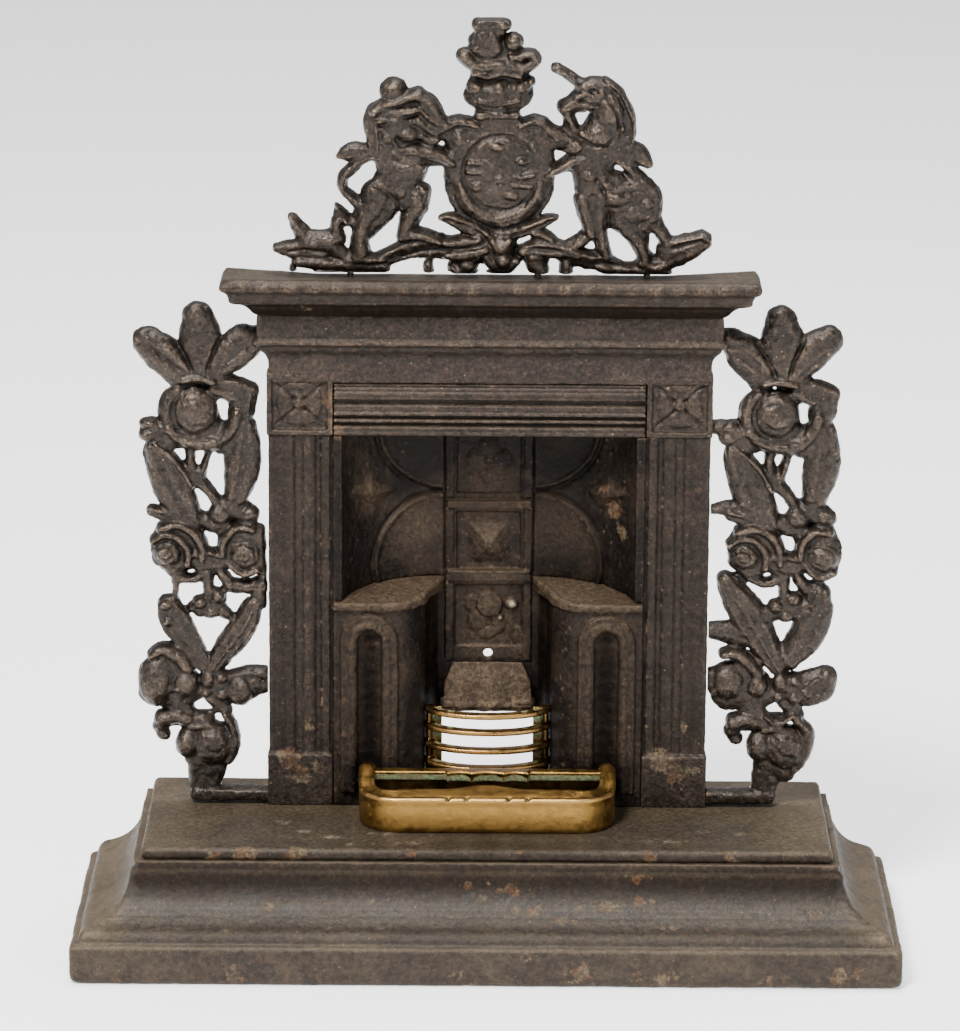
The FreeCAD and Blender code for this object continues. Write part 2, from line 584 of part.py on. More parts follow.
# Each entry is a tapering bar (x1, z1, r1, x2, z2, r2, height) or a round (x, z, r, height).
CREST = {
    "left beast": [
        (-31.2, 277, 4.6, MID), (-27, 268, 9.5, HIGH), (-33, 266, 5.5, -32, 258, 6, MID),
        (-21, 264, 4, -14, 264, 3.2, MID), (-30, 255, 7.5, -29, 250, 7, MID),
        (-25, 256.5, 3.5, -12, 255.5, 3, MID), (-29, 250, 7, -36, 240, 6.6, MID),
        (-37.5, 238.5, 6.8, -42.3, 229, 2.8, MID), (-42.3, 229, 2.8, -42, 221, 3.2, MID),
        (-27, 244, 5.5, -24, 241, 4.6, MID), (-24, 241, 4.6, -26.6, 231.5, 2.4, MID),
        (-28, 230.3, 2, -16, 229.5, 1.8, MID),
    ],
    "left tail": [
        (-48, 255.5, 1.2, -42, 257, 3.2, LOW), (-42, 257, 3.2, -36, 257, 2.4, LOW),
        (-43, 253, 1.7, -47.4, 248, 1.5, LOW), (-47.4, 248, 1.5, -46.6, 243.6, 1.6, LOW),
        (-46.6, 243.6, 1.6, -41, 240, 2.6, LOW),
    ],
    "shield": [
        (-9.5, 264.5, 3.6, 14.5, 264.5, 3.4, LOW), (2.5, 254, 16.5, 2.5, 247, 15.5, LOW),
        (2.7, 251.5, 12.5, MID), (2.7, 249.5, 12.5, MID), (-11, 263, 4, -11, 250, 4.4, LOW),
        (16, 263, 4, 16, 249, 4.2, LOW),
    ],
    "finial": [
        (-3, 269, 1.7, 7.2, 269, 1.7, MID), (-1.5, 277.3, 7.2, 6, 277.3, 7.2, HIGH),
        (-6, 287.5, 3.2, 10.5, 287.3, 3.3, MID), (-2, 282, 5, 7, 282, 5, MID),
        (-3.6, 292.5, 4.2, 0.6, 292.5, 4, HIGH), (7.3, 293, 2.7, 6.5, 289, 2.8, MID),
        (-4, 298.8, 1.6, 2.8, 298.8, 1.6, MID), (-2, 296, 3, 0.5, 296, 3, MID),
    ],
    "right beast": [
        (20.6, 285, 1.3, 28, 280.3, 1.6, LOW), (32.5, 276.2, 5.2, 24.6, 273, 2.9, MID),
        (24.5, 271, 2.2, 24.4, 265.5, 2.2, LOW), (36, 274.5, 5.6, 38.8, 263, 6.4, MID),
        (36.5, 262, 6.5, 32, 252, 6.5, MID), (28, 259.5, 4, 20, 261.5, 2.8, MID),
        (30, 256, 3, 19, 251.4, 1.5, LOW), (32, 250, 6.4, 33.5, 246, 7, MID),
        (36, 245.5, 7, 44.5, 242.5, 7.6, MID), (44.5, 242.5, 7.6, 47.5, 238, 5, MID),
        (30, 242, 4, 32.3, 234, 2.5, MID), (33.5, 235, 2.4, 36, 222.5, 1.7, MID),
        (45, 236.5, 5.6, 48.7, 224, 1.9, MID), (31, 231.3, 1.5, 24.6, 228, 1.4, LOW),
    ],
    "right tail": [
        (41.5, 258, 2, 49.6, 253.8, 1.5, LOW), (44.5, 257, 3.1, LOW),
        (42, 255.5, 1.6, 47, 250.4, 1.7, LOW), (47, 250.4, 1.7, 51.4, 246, 1.8, LOW),
        (51.4, 246, 1.8, 51.6, 238.8, 2, LOW), (52.6, 236.8, 1.7, 56.2, 229.6, 1.5, LOW),
    ],
    "ground": [
        (-63, 235.5, 1.4, -60, 229.5, 2.8, LOW), (-68.4, 226, 1.5, -61, 225.8, 3, LOW),
        (-61, 225.8, 3, -50, 226, 2.8, LOW), (-50, 225.5, 2.6, -44, 221, 2.4, LOW),
        (-49.6, 240, 0.9, -48.9, 229, 2.6, LOW), (-49, 236, 2, -44, 234, 1.5, LOW),
        (-58, 230, 2, -50, 230, 2, LOW), (-55, 219.7, 2, -34, 219.7, 2, MID),
        (-38, 222.2, 2.2, -23, 225.5, 2.4, MID), (-23, 225.5, 2.4, -10, 225, 3.3, MID),
        (-10, 225, 3.4, 3, 226, 5, HIGH), (-16.3, 235.6, 0.9, -10, 234.6, 1.8, LOW),
        (-10, 234.6, 1.8, -5, 229.5, 3.4, LOW), (3, 226, 5, 4, 230, 4.6, HIGH),
        (7, 231.8, 2, 19.6, 236, 1.1, LOW), (14, 232.4, 1.8, 15.5, 226, 2.6, LOW),
        (10.5, 224.8, 2.2, 24, 225.6, 2.6, MID), (25, 223.8, 3.2, 36, 222.6, 2.8, MID),
        (36, 220.2, 2.4, 56, 219.4, 2, MID), (57.5, 225.5, 4.8, 68.6, 229.4, 2, LOW),
        (53.6, 221.4, 2.4, 50.4, 222.6, 2.2, LOW), (55.6, 229, 1.3, 56.4, 222, 3, LOW),
    ],
    "feet": [
        (-63.2, 218, 0.9, -63.2, 223, 0.9, LOW), (-19.6, 218, 1.5, -19.6, 224, 1.5, LOW),
        (-12, 218.4, 2.2, -8.5, 218.4, 2.2, LOW), (-11, 219, 2.4, -10, 224, 3, LOW),
        (1.8, 218, 2.2, 1.8, 222, 2.6, LOW), (14.8, 218.2, 2.6, 15, 223, 4, LOW),
        (24, 218, 1.9, 24, 223, 1.7, LOW),
    ],
}

GARLAND = {
    "top leaves": [
        (-109.6, 194, 5.3, -100, 184, 5.2, MID), (-94, 202, 5.6, -92.8, 189, 6.6, MID),
        (-89, 187, 5.2, -80, 195.6, 5, MID), (-92.5, 183.5, 4, HIGH),
        (-86, 181, 3.4, -80, 179.5, 3, MID),
    ],
    "fruit": [
        (-95, 172, 7.4, HIGH), (-97, 170, 9.2, -96, 168, 9.2, LOW),
        (-104, 172, 2.4, -101, 164, 3.4, MID), (-101, 163, 3, -88, 161.4, 3, MID),
        (-78, 177, 3.4, -78.6, 172, 3.2, MID), (-81.5, 177.5, 3, -82, 168.5, 3.2, MID),
        (-86.5, 166, 2.4, -82, 166, 3, MID), (-110, 166.2, 3.4, -106.4, 164.2, 3.6, MID),
        (-87, 160, 3, -82, 164, 4, LOW), (-87, 180, 2.6, -88, 177, 2, LOW),
    ],
    "paired leaves": [
        (-107.6, 157.5, 4.8, -103, 147, 6.8, MID), (-103, 147, 6.8, -99, 139, 5.4, MID),
        (-80.6, 163, 5.2, -80.2, 155, 6, MID), (-80.2, 155, 6, -82, 145, 4.3, MID),
        (-106, 160.5, 2.6, -100, 161, 2, LOW),
    ],
    "stem": [
        (-97, 157.5, 1.6, -95.6, 151, 1.7, LOW), (-91.2, 157.5, 1.4, -93.2, 151, 1.5, LOW),
        (-95.2, 150, 2, -90, 143.5, 1.7, LOW), (-90, 143.5, 1.7, -86.4, 139.5, 2, LOW),
        (-99, 150.5, 1.6, -95, 149, 1.8, LOW), (-88, 135.6, 4.4, MID),
        (-85, 140, 3.6, -79, 138, 3.4, LOW), (-78, 137, 3.5, MID), (-95, 136.5, 2.2, -90, 134, 2.6, LOW),
    ],
    "roses": [
        (-108.6, 138, 2, -96, 131, 2.6, MID), (-103, 126.4, 7.4, HIGH),
        (-101, 133, 6, -100, 128, 8, MID), (-79.4, 124.6, 7, HIGH), (-79, 132, 4.4, -77.5, 127, 5, MID),
        (-96, 122, 3.8, -86, 122, 3.8, LOW), (-104.6, 120.4, 3, -103, 118.5, 1.6, LOW),
        (-94.5, 118.6, 1.5, -92.4, 116.8, 1.3, LOW), (-86.8, 130.6, 2, -85.6, 124, 2.6, LOW),
    ],
    "links": [
        (-91.6, 116.8, 1.5, -91.4, 108, 1.5, LOW), (-87, 117, 2, -84.6, 113.2, 2.2, LOW),
        (-93.4, 107.2, 2.4, MID), (-90.6, 104, 2.3, MID), (-87.6, 108.6, 2.6, MID),
        (-90, 109, 2.6, -88, 106, 2.2, LOW), (-87, 104, 2, -84.4, 102.4, 1.6, LOW),
        (-96.4, 105.6, 2, -94, 104, 2, LOW),
    ],
    "lower flowers": [
        (-108.6, 82, 6.4, -108.4, 78, 6.6, HIGH), (-105.6, 90.4, 2.8, -101, 87, 3.6, MID),
        (-100, 80, 5.8, HIGH), (-90.6, 82, 2.8, -92, 77.6, 2.4, MID),
        (-87.4, 82, 2.8, -87.4, 76.6, 2.8, MID), (-96, 76.6, 3.4, -102, 72.6, 3.4, LOW),
        (-106, 67.4, 3, -92, 67.8, 2.9, MID), (-107.3, 64.6, 2.6, -106.4, 62.2, 2.4, LOW),
        (-88.6, 71.4, 2.2, -85, 70.4, 1.8, LOW), (-90, 77, 2, -86, 71, 2.4, LOW), (-98, 59.4, 4.8, MID),
        (-90, 59, 7.8, HIGH), (-85.4, 69.6, 1.3, -84, 63, 2, LOW), (-95, 64.4, 3, -97, 66, 2.4, LOW),
    ],
}

# What differs between the two sides: the crossed leaves, the outer pod and the links to the surround.
LEFT_LINKS = {
    "crossed leaves": [
        (-104, 106, 3.8, -101.4, 100.6, 4.8, MID), (-101.4, 100.6, 4.8, -93.6, 87, 3, MID),
        (-77.6, 106, 3.2, -80.6, 98, 4.4, MID), (-80.6, 98, 4.4, -88, 87.6, 3.6, MID),
        (-102, 117.6, 1, -102.2, 109.6, 1, LOW), (-102.4, 114.6, 1.4, -92, 115.4, 1.3, LOW),
    ],
    "jamb links": [
        (-85, 112.6, 2.2, -74, 112, 2.4, LOW), (-74.6, 111, 2.8, -73.6, 106.8, 1.8, LOW),
        (-74, 119, 1.6, -73.6, 112, 0.9, LOW), (-81, 78.2, 5.6, -75.4, 80.2, 4.4, MID),
        (-75.6, 79.9, 3.7, -71, 80.2, 3.7, LOW), (-78.5, 195.6, 4.4, -74, 196, 4.2, LOW),
    ],
    "foot": [
        (-94, 52, 4.6, -94.4, 43, 3.4, MID), (-89, 51, 3.6, -90, 45, 2.6, LOW),
        (-92, 46, 2.6, -89, 43, 1.8, LOW), (-95.4, 41.9, 2.1, -71, 41.9, 2.1, MID),
    ],
}
RIGHT_LINKS = {
    "crossed leaves": [
        (79, 114, 4.4, 85.6, 103.4, 6.2, MID), (85.6, 103.4, 6.2, 93, 90, 4.2, MID),
        (107, 109.4, 4.6, 104.8, 99, 6, MID), (104.8, 99, 6, 98.4, 89.6, 4.4, MID),
        (103, 114, 1.8, 108, 113.6, 2, LOW),
    ],
    "jamb links": [
        (79, 167, 2.6, 71, 167.2, 2, LOW), (82, 139, 2.2, 71, 139.6, 1.2, LOW),
        (84, 97, 3, 71, 98.4, 2.4, LOW), (78, 82, 5, 71, 82, 3.4, LOW),
        (78, 195.6, 4.6, 73, 197, 2.6, LOW),
    ],
    "outer pod": [(104, 79, 6, 109.4, 81.8, 5, MID)],
    "foot": [
        (92.4, 53, 5.2, 91, 45, 4.2, MID), (90, 43.5, 2.6, 91.6, 42, 2, LOW),
        (92.4, 41.9, 2.1, 71, 41.9, 2.1, MID),
    ],
}


def shifted(shapes, distance):
    """The same bars and rounds moved along X."""
    def moved(entry):
        across = (0, 3) if len(entry) == 7 else (0,)
        return tuple(number + distance if index in across else number for index, number in enumerate(entry))

    return {part: [moved(entry) for entry in entries] for part, entries in shapes.items()}


def relief(shapes, back):
    """All the bars and rounds of a casting, joined, with one flat back."""
    solids = []
    for entries in shapes.values():
        for *place, height in entries:
            x1, z1, r1, x2, z2, r2 = place if len(place) == 6 else (*place, *place)
            solids.append(limb_prism(x1, z1, r1, x2, z2, r2, back, height))
    return solids[0].multiFuse(solids[1:])


def trim_box(x_low, y_low, z_low, x_high, y_high, z_high):
    return Part.makeBox(x_high - x_low, y_high - y_low, z_high - z_low, Vector(x_low, y_low, z_low))


def relief_casting(node, shapes, back, trims, drills=()):
    """A casting in relief, cut square where it stands on or meets its neighbours."""
    shape = relief(shapes, back)
    for trim in trims:
        shape = shape.cut(trim)
    for x, y in drills:
        foot = Vector(x, y, size("shelf_top") - 1)
        shape = shape.cut(Part.makeCylinder(size("pin_radius+drill_clearance"), 4.5, foot))
    if len(shape.Solids) != 1:
        raise RuntimeError(f"{node}: the relief isn't in one piece")
    feature = doc.addObject("Part::Feature", node)
    feature.Shape = shape.Solids[0]
    return keep(node, feature)


slab_top, shelf_top, lintel_top = size("slab_top"), size("shelf_top"), size("lintel_top")
jamb_side, cornice_side = size("jamb_outer"), size("cornice_half") + CORNICE_REACH
below_shelf_top = trim_box(-90, -10, 200, 90, 40, shelf_top)
relief_casting("crest", CREST, "crest_back", [below_shelf_top], CREST_PINS)
garland_trims = [
    trim_box(-130, -10, 20, 130, 40, slab_top),
    trim_box(-jamb_side, 0, 30, jamb_side, 40, lintel_top),
    trim_box(-cornice_side, 0, lintel_top, cornice_side, 40, 210),
]
right_pattern = shifted(GARLAND, size("garland_shift"))
relief_casting("left_garland", {**GARLAND, **LEFT_LINKS}, "garland_back", garland_trims)
relief_casting("right_garland", {**right_pattern, **RIGHT_LINKS}, "garland_back", garland_trims)
pins = [cylinder("crest_pin", "pin_radius", 7, (x, y, "shelf_top-4")) for x, y in CREST_PINS]
keep("crest_pins", group("crest_pins", pins))


# ---------------------------------------------------------------- checks and export

doc.recompute()
for item in doc.Objects:
    if {"Invalid", "Error"} & set(item.State):
        raise RuntimeError(f"{item.Name} failed: {item.State}")
for node, feature in nodes.items():
    shape = feature.Shape
    if shape.isNull() or not shape.isValid():
        raise RuntimeError(f"{node} has no valid shape")
    shape.exportStep(f"parts/{node}.step")
    box = shape.BoundBox
    print(f"{node:16s} solids {len(shape.Solids)} volume {shape.Volume:10.1f}"
          f"  X {box.XMin:7.2f} {box.XMax:7.2f}  Y {box.YMin:7.2f} {box.YMax:7.2f}"
          f"  Z {box.ZMin:7.2f} {box.ZMax:7.2f}")
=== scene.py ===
"""Looks of the miniature fireplace mantel: worn iron castings, rubbed brass, studio light.

Design numbers are in millimetres, in the frame's own axes: X right, +Y away from the viewer, +Z up.
"""
import math

import bmesh
import bpy
import numpy as np
from mathutils.bvhtree import BVHTree
from mathutils import Matrix, Vector


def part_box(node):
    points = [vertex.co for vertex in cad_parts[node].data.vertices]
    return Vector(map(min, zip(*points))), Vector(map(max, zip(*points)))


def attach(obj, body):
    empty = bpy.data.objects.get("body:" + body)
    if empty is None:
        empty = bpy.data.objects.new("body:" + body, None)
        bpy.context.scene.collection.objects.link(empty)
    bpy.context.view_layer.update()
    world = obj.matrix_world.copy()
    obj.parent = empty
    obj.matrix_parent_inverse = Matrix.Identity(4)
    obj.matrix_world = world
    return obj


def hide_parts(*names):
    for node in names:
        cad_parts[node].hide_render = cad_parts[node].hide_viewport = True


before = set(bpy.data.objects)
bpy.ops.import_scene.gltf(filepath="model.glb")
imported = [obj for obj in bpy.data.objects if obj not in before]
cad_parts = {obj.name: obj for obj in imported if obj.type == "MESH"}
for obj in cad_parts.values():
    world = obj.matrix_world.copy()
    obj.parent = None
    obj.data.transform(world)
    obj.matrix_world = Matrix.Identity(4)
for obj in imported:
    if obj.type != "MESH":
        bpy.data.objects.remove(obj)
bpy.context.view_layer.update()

MM = 0.001


def node_box(node):
    """A CAD node's lowest and highest corner, in millimetres."""
    low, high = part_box(node)
    return np.array(low) / MM, np.array(high) / MM


def back_of(node):
    """Y of a CAD node's rear face."""
    return node_box(node)[1][1]


PLINTH_LOW, PLINTH_HIGH = node_box("base_plinth")
SLAB_LOW, SLAB_HIGH = node_box("hearth_slab")
JAMB_LOW, JAMB_HIGH = node_box("right_jamb")
LINTEL_LOW, LINTEL_HIGH = node_box("lintel")
GRATE_LOW, GRATE_HIGH = node_box("grate_front")
FENDER_LOW, FENDER_HIGH = node_box("fender")


# ---------------------------------------------------------------- camera, light and floor

CAMERA_PLACE = Vector((-2.92, -1606.6, 582.8)) * MM
CAMERA_PITCH, CAMERA_ROLL, CAMERA_LENS = math.radians(15.3), math.radians(0.4), 181.6


def add_camera():
    data = bpy.data.cameras.new("camera")
    data.lens, data.sensor_width, data.clip_end = CAMERA_LENS, 36, 60
    camera = bpy.data.objects.new("camera", data)
    bpy.context.scene.collection.objects.link(camera)
    ahead = Vector((0, math.cos(CAMERA_PITCH), -math.sin(CAMERA_PITCH)))
    level_up = Vector((0, math.sin(CAMERA_PITCH), math.cos(CAMERA_PITCH)))
    level_right = Vector((1, 0, 0))
    right = level_right * math.cos(CAMERA_ROLL) + level_up * math.sin(CAMERA_ROLL)
    up = level_up * math.cos(CAMERA_ROLL) - level_right * math.sin(CAMERA_ROLL)
    camera.matrix_world = Matrix.Translation(CAMERA_PLACE) @ Matrix((right, up, -ahead)).transposed().to_4x4()
    bpy.context.scene.camera = camera


def add_light(name, place, target, size, watts, colour=(1, 1, 1)):
    data = bpy.data.lights.new(name, "AREA")
    data.shape, data.size, data.energy, data.color = "DISK", size, watts, colour
    light = bpy.data.objects.new(name, data)
    light.location = Vector(place)
    light.rotation_euler = (Vector(target) - Vector(place)).to_track_quat("-Z", "Y").to_euler()
    bpy.context.scene.collection.objects.link(light)


def add_studio():
    middle = (0, 0, 0.14)
    add_light("key", (-0.55, -1.0, 1.55), middle, 0.55, 74, (1, 0.985, 0.96))
    add_light("fill", (1.2, -1.3, 0.7), middle, 0.9, 14, (0.97, 0.985, 1))
    add_light("top", (0.1, 0.3, 1.6), middle, 0.8, 30)
    world = bpy.data.worlds.new("studio")
    world.use_nodes = True
    world.node_tree.nodes["Background"].inputs["Color"].default_value = (0.96, 0.97, 1, 1)
    world.node_tree.nodes["Background"].inputs["Strength"].default_value = 0.5
    bpy.context.scene.world = world
    mesh = bpy.data.meshes.new("floor")
    reach = 9
    mesh.from_pydata([(-reach, -reach, 0), (reach, -reach, 0), (reach, reach, 0), (-reach, reach, 0)], [],
                     [(0, 1, 2, 3)])
    floor = bpy.data.objects.new("floor", mesh)
    bpy.context.scene.collection.objects.link(floor)
    paint = bpy.data.materials.new("floor_paint")
    paint.use_nodes = True
    paint.node_tree.nodes["Principled BSDF"].inputs["Base Color"].default_value = (0.96, 0.96, 0.955, 1)
    paint.node_tree.nodes["Principled BSDF"].inputs["Roughness"].default_value = 0.9
    paint.node_tree.nodes["Principled BSDF"].inputs["Emission Color"].default_value = (1, 1, 1, 1)
    paint.node_tree.nodes["Principled BSDF"].inputs["Emission Strength"].default_value = 0.66
    floor.data.materials.append(paint)


add_camera()
add_studio()


# ---------------------------------------------------------------- materials

class Shader:
    """A material's node tree, built with short calls. Sockets are passed about as values."""

    def __init__(self, name):
        self.material = bpy.data.materials.new(name)
        self.material.use_nodes = True
        self.nodes, self.links = self.material.node_tree.nodes, self.material.node_tree.links
        self.surface = self.nodes["Principled BSDF"]
        self.place = self.make("ShaderNodeTexCoord").outputs["Object"]

    def make(self, kind, **settings):
        node = self.nodes.new(kind)
        for key, value in settings.items():
            setattr(node, key, value)
        return node

    def feed(self, socket, value):
        if isinstance(value, bpy.types.NodeSocket):
            self.links.new(value, socket)
        elif isinstance(value, tuple) and len(value) == 3 and len(socket.default_value) == 4:
            socket.default_value = (*value, 1)
        else:
            socket.default_value = value

    def noise(self, size, detail=3, roughness=0.55, distortion=0.0):
        """Noise from 0 to 1 whose blobs are about size millimetres across."""
        node = self.make("ShaderNodeTexNoise")
        self.feed(node.inputs["Vector"], self.place)
        for key, value in (("Scale", 1 / (size * MM)), ("Detail", detail), ("Roughness", roughness),
                           ("Distortion", distortion)):
            node.inputs[key].default_value = value
        return node.outputs["Fac"]

    def cells(self, size):
        """Distance to the nearest point of a random pattern, in cells about size millimetres across."""
        node = self.make("ShaderNodeTexVoronoi")
        self.feed(node.inputs["Vector"], self.place)
        node.inputs["Scale"].default_value = 1 / (size * MM)
        return node.outputs["Distance"]

    def step(self, value, low, high, to_low=0.0, to_high=1.0):
        """value mapped from low..high to to_low..to_high, smoothly and clamped."""
        node = self.make("ShaderNodeMapRange", interpolation_type="SMOOTHSTEP")
        for key, number in (("Value", value), ("From Min", low), ("From Max", high), ("To Min", to_low),
                            ("To Max", to_high)):
            self.feed(node.inputs[key], number)
        return node.outputs["Result"]

    def sum(self, kind, first, second):
        node = self.make("ShaderNodeMath", operation=kind, use_clamp=kind in ("ADD", "MULTIPLY"))
        self.feed(node.inputs[0], first)
        self.feed(node.inputs[1], second)
        return node.outputs[0]

    def times(self, first, second):
        return self.sum("MULTIPLY", first, second)

    def mix(self, share, first, second, kind="MIX"):
        node = self.make("ShaderNodeMix", data_type="RGBA", blend_type=kind)
        self.feed(node.inputs["Factor"], share)
        self.feed(node.inputs[6], first)
        self.feed(node.inputs[7], second)
        return node.outputs[2]

    def attribute(self, name):
        return self.make("ShaderNodeAttribute", attribute_name=name).outputs["Fac"]

    def edges(self):
        return self.make("ShaderNodeNewGeometry").outputs["Pointiness"]

    def upward(self):
        normal = self.make("ShaderNodeNewGeometry").outputs["Normal"]
        split = self.make("ShaderNodeSeparateXYZ")
        self.feed(split.inputs[0], normal)
        return split.outputs["Z"]

    def bump(self, height, distance, strength=1.0, normal=None):
        node = self.make("ShaderNodeBump")
        self.feed(node.inputs["Height"], height)
        node.inputs["Distance"].default_value = distance * MM
        node.inputs["Strength"].default_value = strength
        if normal is not None:
            self.feed(node.inputs["Normal"], normal)
        return node.outputs["Normal"]


def shade(colour, share, lift=0.0):
    """A colour made darker or lighter."""
    return tuple(min(1, share * part + lift) for part in colour)


def cast_iron(name, dark, middle, worn_and_highlight, bloom_and_top_light, top_light_share=0.6, metal=0.35, rough=0.6, shine=0.25, grit=1.0):
    """Old cast iron: painted shade in hollows, rubbed edges with a painted highlight, a dull bloom and a painted top
    light on what faces up, and painted soot and shade, dust and rust.
    """
    s = Shader(name)
    broad, mottle = s.noise(26, 3, 0.6, 0.6), s.noise(5.5, 5, 0.62, 0.4)
    patchy, fine, grain = s.noise(1.7, 4, 0.62, 0.3), s.noise(0.9, 4, 0.62), s.noise(0.4, 3, 0.6)
    blotch = s.sum("ADD", s.times(mottle, 0.45), s.times(patchy, 0.55))
    colour = s.mix(s.step(blotch, 0.3, 0.7), dark, middle)
    # lighter on what faces up: a dull bloom together with a painted top light
    colour = s.mix(s.times(s.step(s.upward(), 0.15, 0.95), s.step(broad, 0.3, 0.62, top_light_share * 0.6, top_light_share)),
                   colour, bloom_and_top_light)
    colour = s.mix(s.step(broad, 0.42, 0.7, 0, 0.28), colour, bloom_and_top_light)
    colour = s.mix(s.times(s.attribute("dust"), s.step(patchy, 0.3, 0.6, 0.5, 1)), colour, bloom_and_top_light)
    colour = s.mix(s.times(s.attribute("cool"), s.step(blotch, 0.36, 0.6, 1, 0.55)), colour, (0.0275, 0.0248, 0.0236))
    pointed = s.edges()
    # edges lightened: rubbed wear together with a painted highlight
    rubbed_and_highlit = s.times(s.step(pointed, 0.51, 0.61), s.step(blotch, 0.38, 0.58, 0.1, 1))
    colour = s.mix(s.times(rubbed_and_highlit, 0.75), colour, worn_and_highlight)
    # painted shade in creases and hollows, where pointiness is low
    colour = s.mix(s.step(pointed, 0.487, 0.43, 0, 0.8), colour, shade(dark, 0.4))
    # raised places lightened: rubbed wear together with a painted highlight
    high = s.times(s.attribute("high"), s.step(fine, 0.34, 0.6, 0.25, 1))
    colour = s.mix(s.times(high, 0.5), colour, worn_and_highlight)
    specks = s.times(s.step(s.cells(2.3), 0.2, 0.05), s.step(fine, 0.5, 0.62))
    colour = s.mix(s.times(specks, 0.55), colour, shade(worn_and_highlight, 1.6))
    flecks = s.times(s.step(s.cells(5.2), 0.34, 0.1), s.step(patchy, 0.5, 0.64))
    colour = s.mix(s.times(flecks, 0.4), colour, (0.075, 0.043, 0.025))
    colour = s.mix(0.8 * grit, colour, s.mix(s.step(fine, 0.3, 0.7), (0.25, 0.24, 0.235), (0.76, 0.75, 0.74)),
                   "OVERLAY")
    colour = s.mix(0.45 * grit, colour, s.mix(s.step(grain, 0.32, 0.68), (0.3, 0.29, 0.285), (0.72, 0.71, 0.70)),
                   "OVERLAY")
    colour = s.mix(0.4, colour, s.mix(s.step(patchy, 0.36, 0.64), (0.27, 0.26, 0.255), (0.72, 0.70, 0.68)), "OVERLAY")
    # painted shade on what lies behind what is round it, from the "low" mask
    colour = s.mix(s.times(s.attribute("low"), 0.6), colour, shade(dark, 0.35))
    # the soot mask carries painted soot and painted shade: darker, with almost no shine
    colour = s.mix(s.times(s.attribute("soot"), 0.85), colour, shade(dark, 0.55))
    broken = s.sum("ADD", s.times(mottle, 0.6), s.times(patchy, 0.5))
    ragged = s.sum("SUBTRACT", s.sum("ADD", s.attribute("rust"), broken), 0.86)
    rusty = s.step(ragged, 0.0, 0.28)
    rust = s.mix(s.step(fine, 0.34, 0.66), (0.055, 0.024, 0.010), (0.17, 0.078, 0.030))
    rust = s.mix(s.step(mottle, 0.48, 0.56), rust,
                 s.mix(s.step(fine, 0.34, 0.66), (0.075, 0.055, 0.032), (0.21, 0.155, 0.09)))
    colour = s.mix(s.times(rusty, s.step(patchy, 0.35, 0.6, 0.35, 0.85)), colour, rust)
    pale = s.times(s.attribute("pale"), s.step(blotch, 0.44, 0.56, 0.15, 1))
    colour = s.mix(pale, colour, s.mix(s.attribute("pale"), (0.15, 0.105, 0.055), (0.46, 0.41, 0.33)))
    s.feed(s.surface.inputs["Base Color"], colour)
    s.feed(s.surface.inputs["Specular IOR Level"], s.step(s.attribute("soot"), 0, 0.9, shine, 0.02))
    s.feed(s.surface.inputs["Metallic"], s.step(s.sum("ADD", rusty, s.attribute("soot")), 0, 1, metal, 0.0))
    gloss = s.sum("SUBTRACT", s.step(blotch, 0.35, 0.65, rough - 0.08, rough + 0.14),
                  s.times(s.sum("ADD", rubbed_and_highlit, high), 0.12))
    s.feed(s.surface.inputs["Roughness"], s.sum("ADD", gloss, s.times(rusty, 0.25)))
    normal = s.bump(patchy, 0.55, 0.6)
    normal = s.bump(s.cells(1.9), 0.14, 0.4, normal)
    normal = s.bump(fine, 0.26, 0.7, normal)
    normal = s.bump(grain, 0.08, 0.6, normal)
    s.feed(s.surface.inputs["Normal"], normal)
    return s.material


def brass(name, bright, dark, rough=0.3):
    """Rubbed brass: brown tarnish in the hollows and on broad faces, pale green where painted on; edges and painted
    lines carry a painted highlight, and the tarnish mask also paints shade.
    """
    s = Shader(name)
    broad, mottle = s.noise(14, 3, 0.6, 0.5), s.noise(3.2, 4, 0.6)
    fine, grain = s.noise(0.9, 4, 0.6), s.noise(0.35, 3, 0.6)
    pointed = s.edges()
    colour = s.mix(s.step(mottle, 0.2, 0.6, 0.55, 1), dark, bright)
    colour = s.mix(s.step(broad, 0.42, 0.75, 0, 0.3), colour, dark)
    # the tarnish mask carries real tarnish and painted shade
    colour = s.mix(s.times(s.attribute("tarnish_and_shade"), 0.85), colour, shade(dark, 0.45))
    # painted highlight on the edges
    colour = s.mix(s.step(pointed, 0.51, 0.58, 0, 0.7), colour, shade(bright, 1.35))
    colour = s.mix(s.step(pointed, 0.49, 0.42, 0, 0.8), colour, shade(dark, 0.35))
    # painted highlight where the rubbed mask is laid
    colour = s.mix(s.times(s.attribute("rubbed_and_highlit"), 0.8), colour, shade(bright, 1.8, 0.05))
    pits = s.times(s.step(s.cells(1.8), 0.18, 0.06), s.step(fine, 0.5, 0.64))
    colour = s.mix(s.times(pits, 0.5), colour, shade(dark, 0.3))
    green = s.step(s.sum("ADD", s.attribute("verdigris"), s.sum("SUBTRACT", mottle, 0.66)), 0.08, 0.4)
    patina = s.mix(s.step(fine, 0.35, 0.65), (0.062, 0.080, 0.036), (0.18, 0.22, 0.105))
    patina = s.mix(s.step(mottle, 0.4, 0.66, 0, 0.75), patina, (0.105, 0.070, 0.032))
    colour = s.mix(green, colour, patina)
    s.feed(s.surface.inputs["Base Color"], colour)
    s.feed(s.surface.inputs["Metallic"], s.step(green, 0, 1, 1.0, 0.05))
    gloss = s.step(mottle, 0.3, 0.7, rough - 0.06, rough + 0.16)
    s.feed(s.surface.inputs["Roughness"], s.sum("ADD", gloss, s.times(green, 0.45)))
    normal = s.bump(fine, 0.10, 0.35)
    normal = s.bump(grain, 0.04, 0.4, normal)
    s.feed(s.surface.inputs["Normal"], normal)
    return s.material


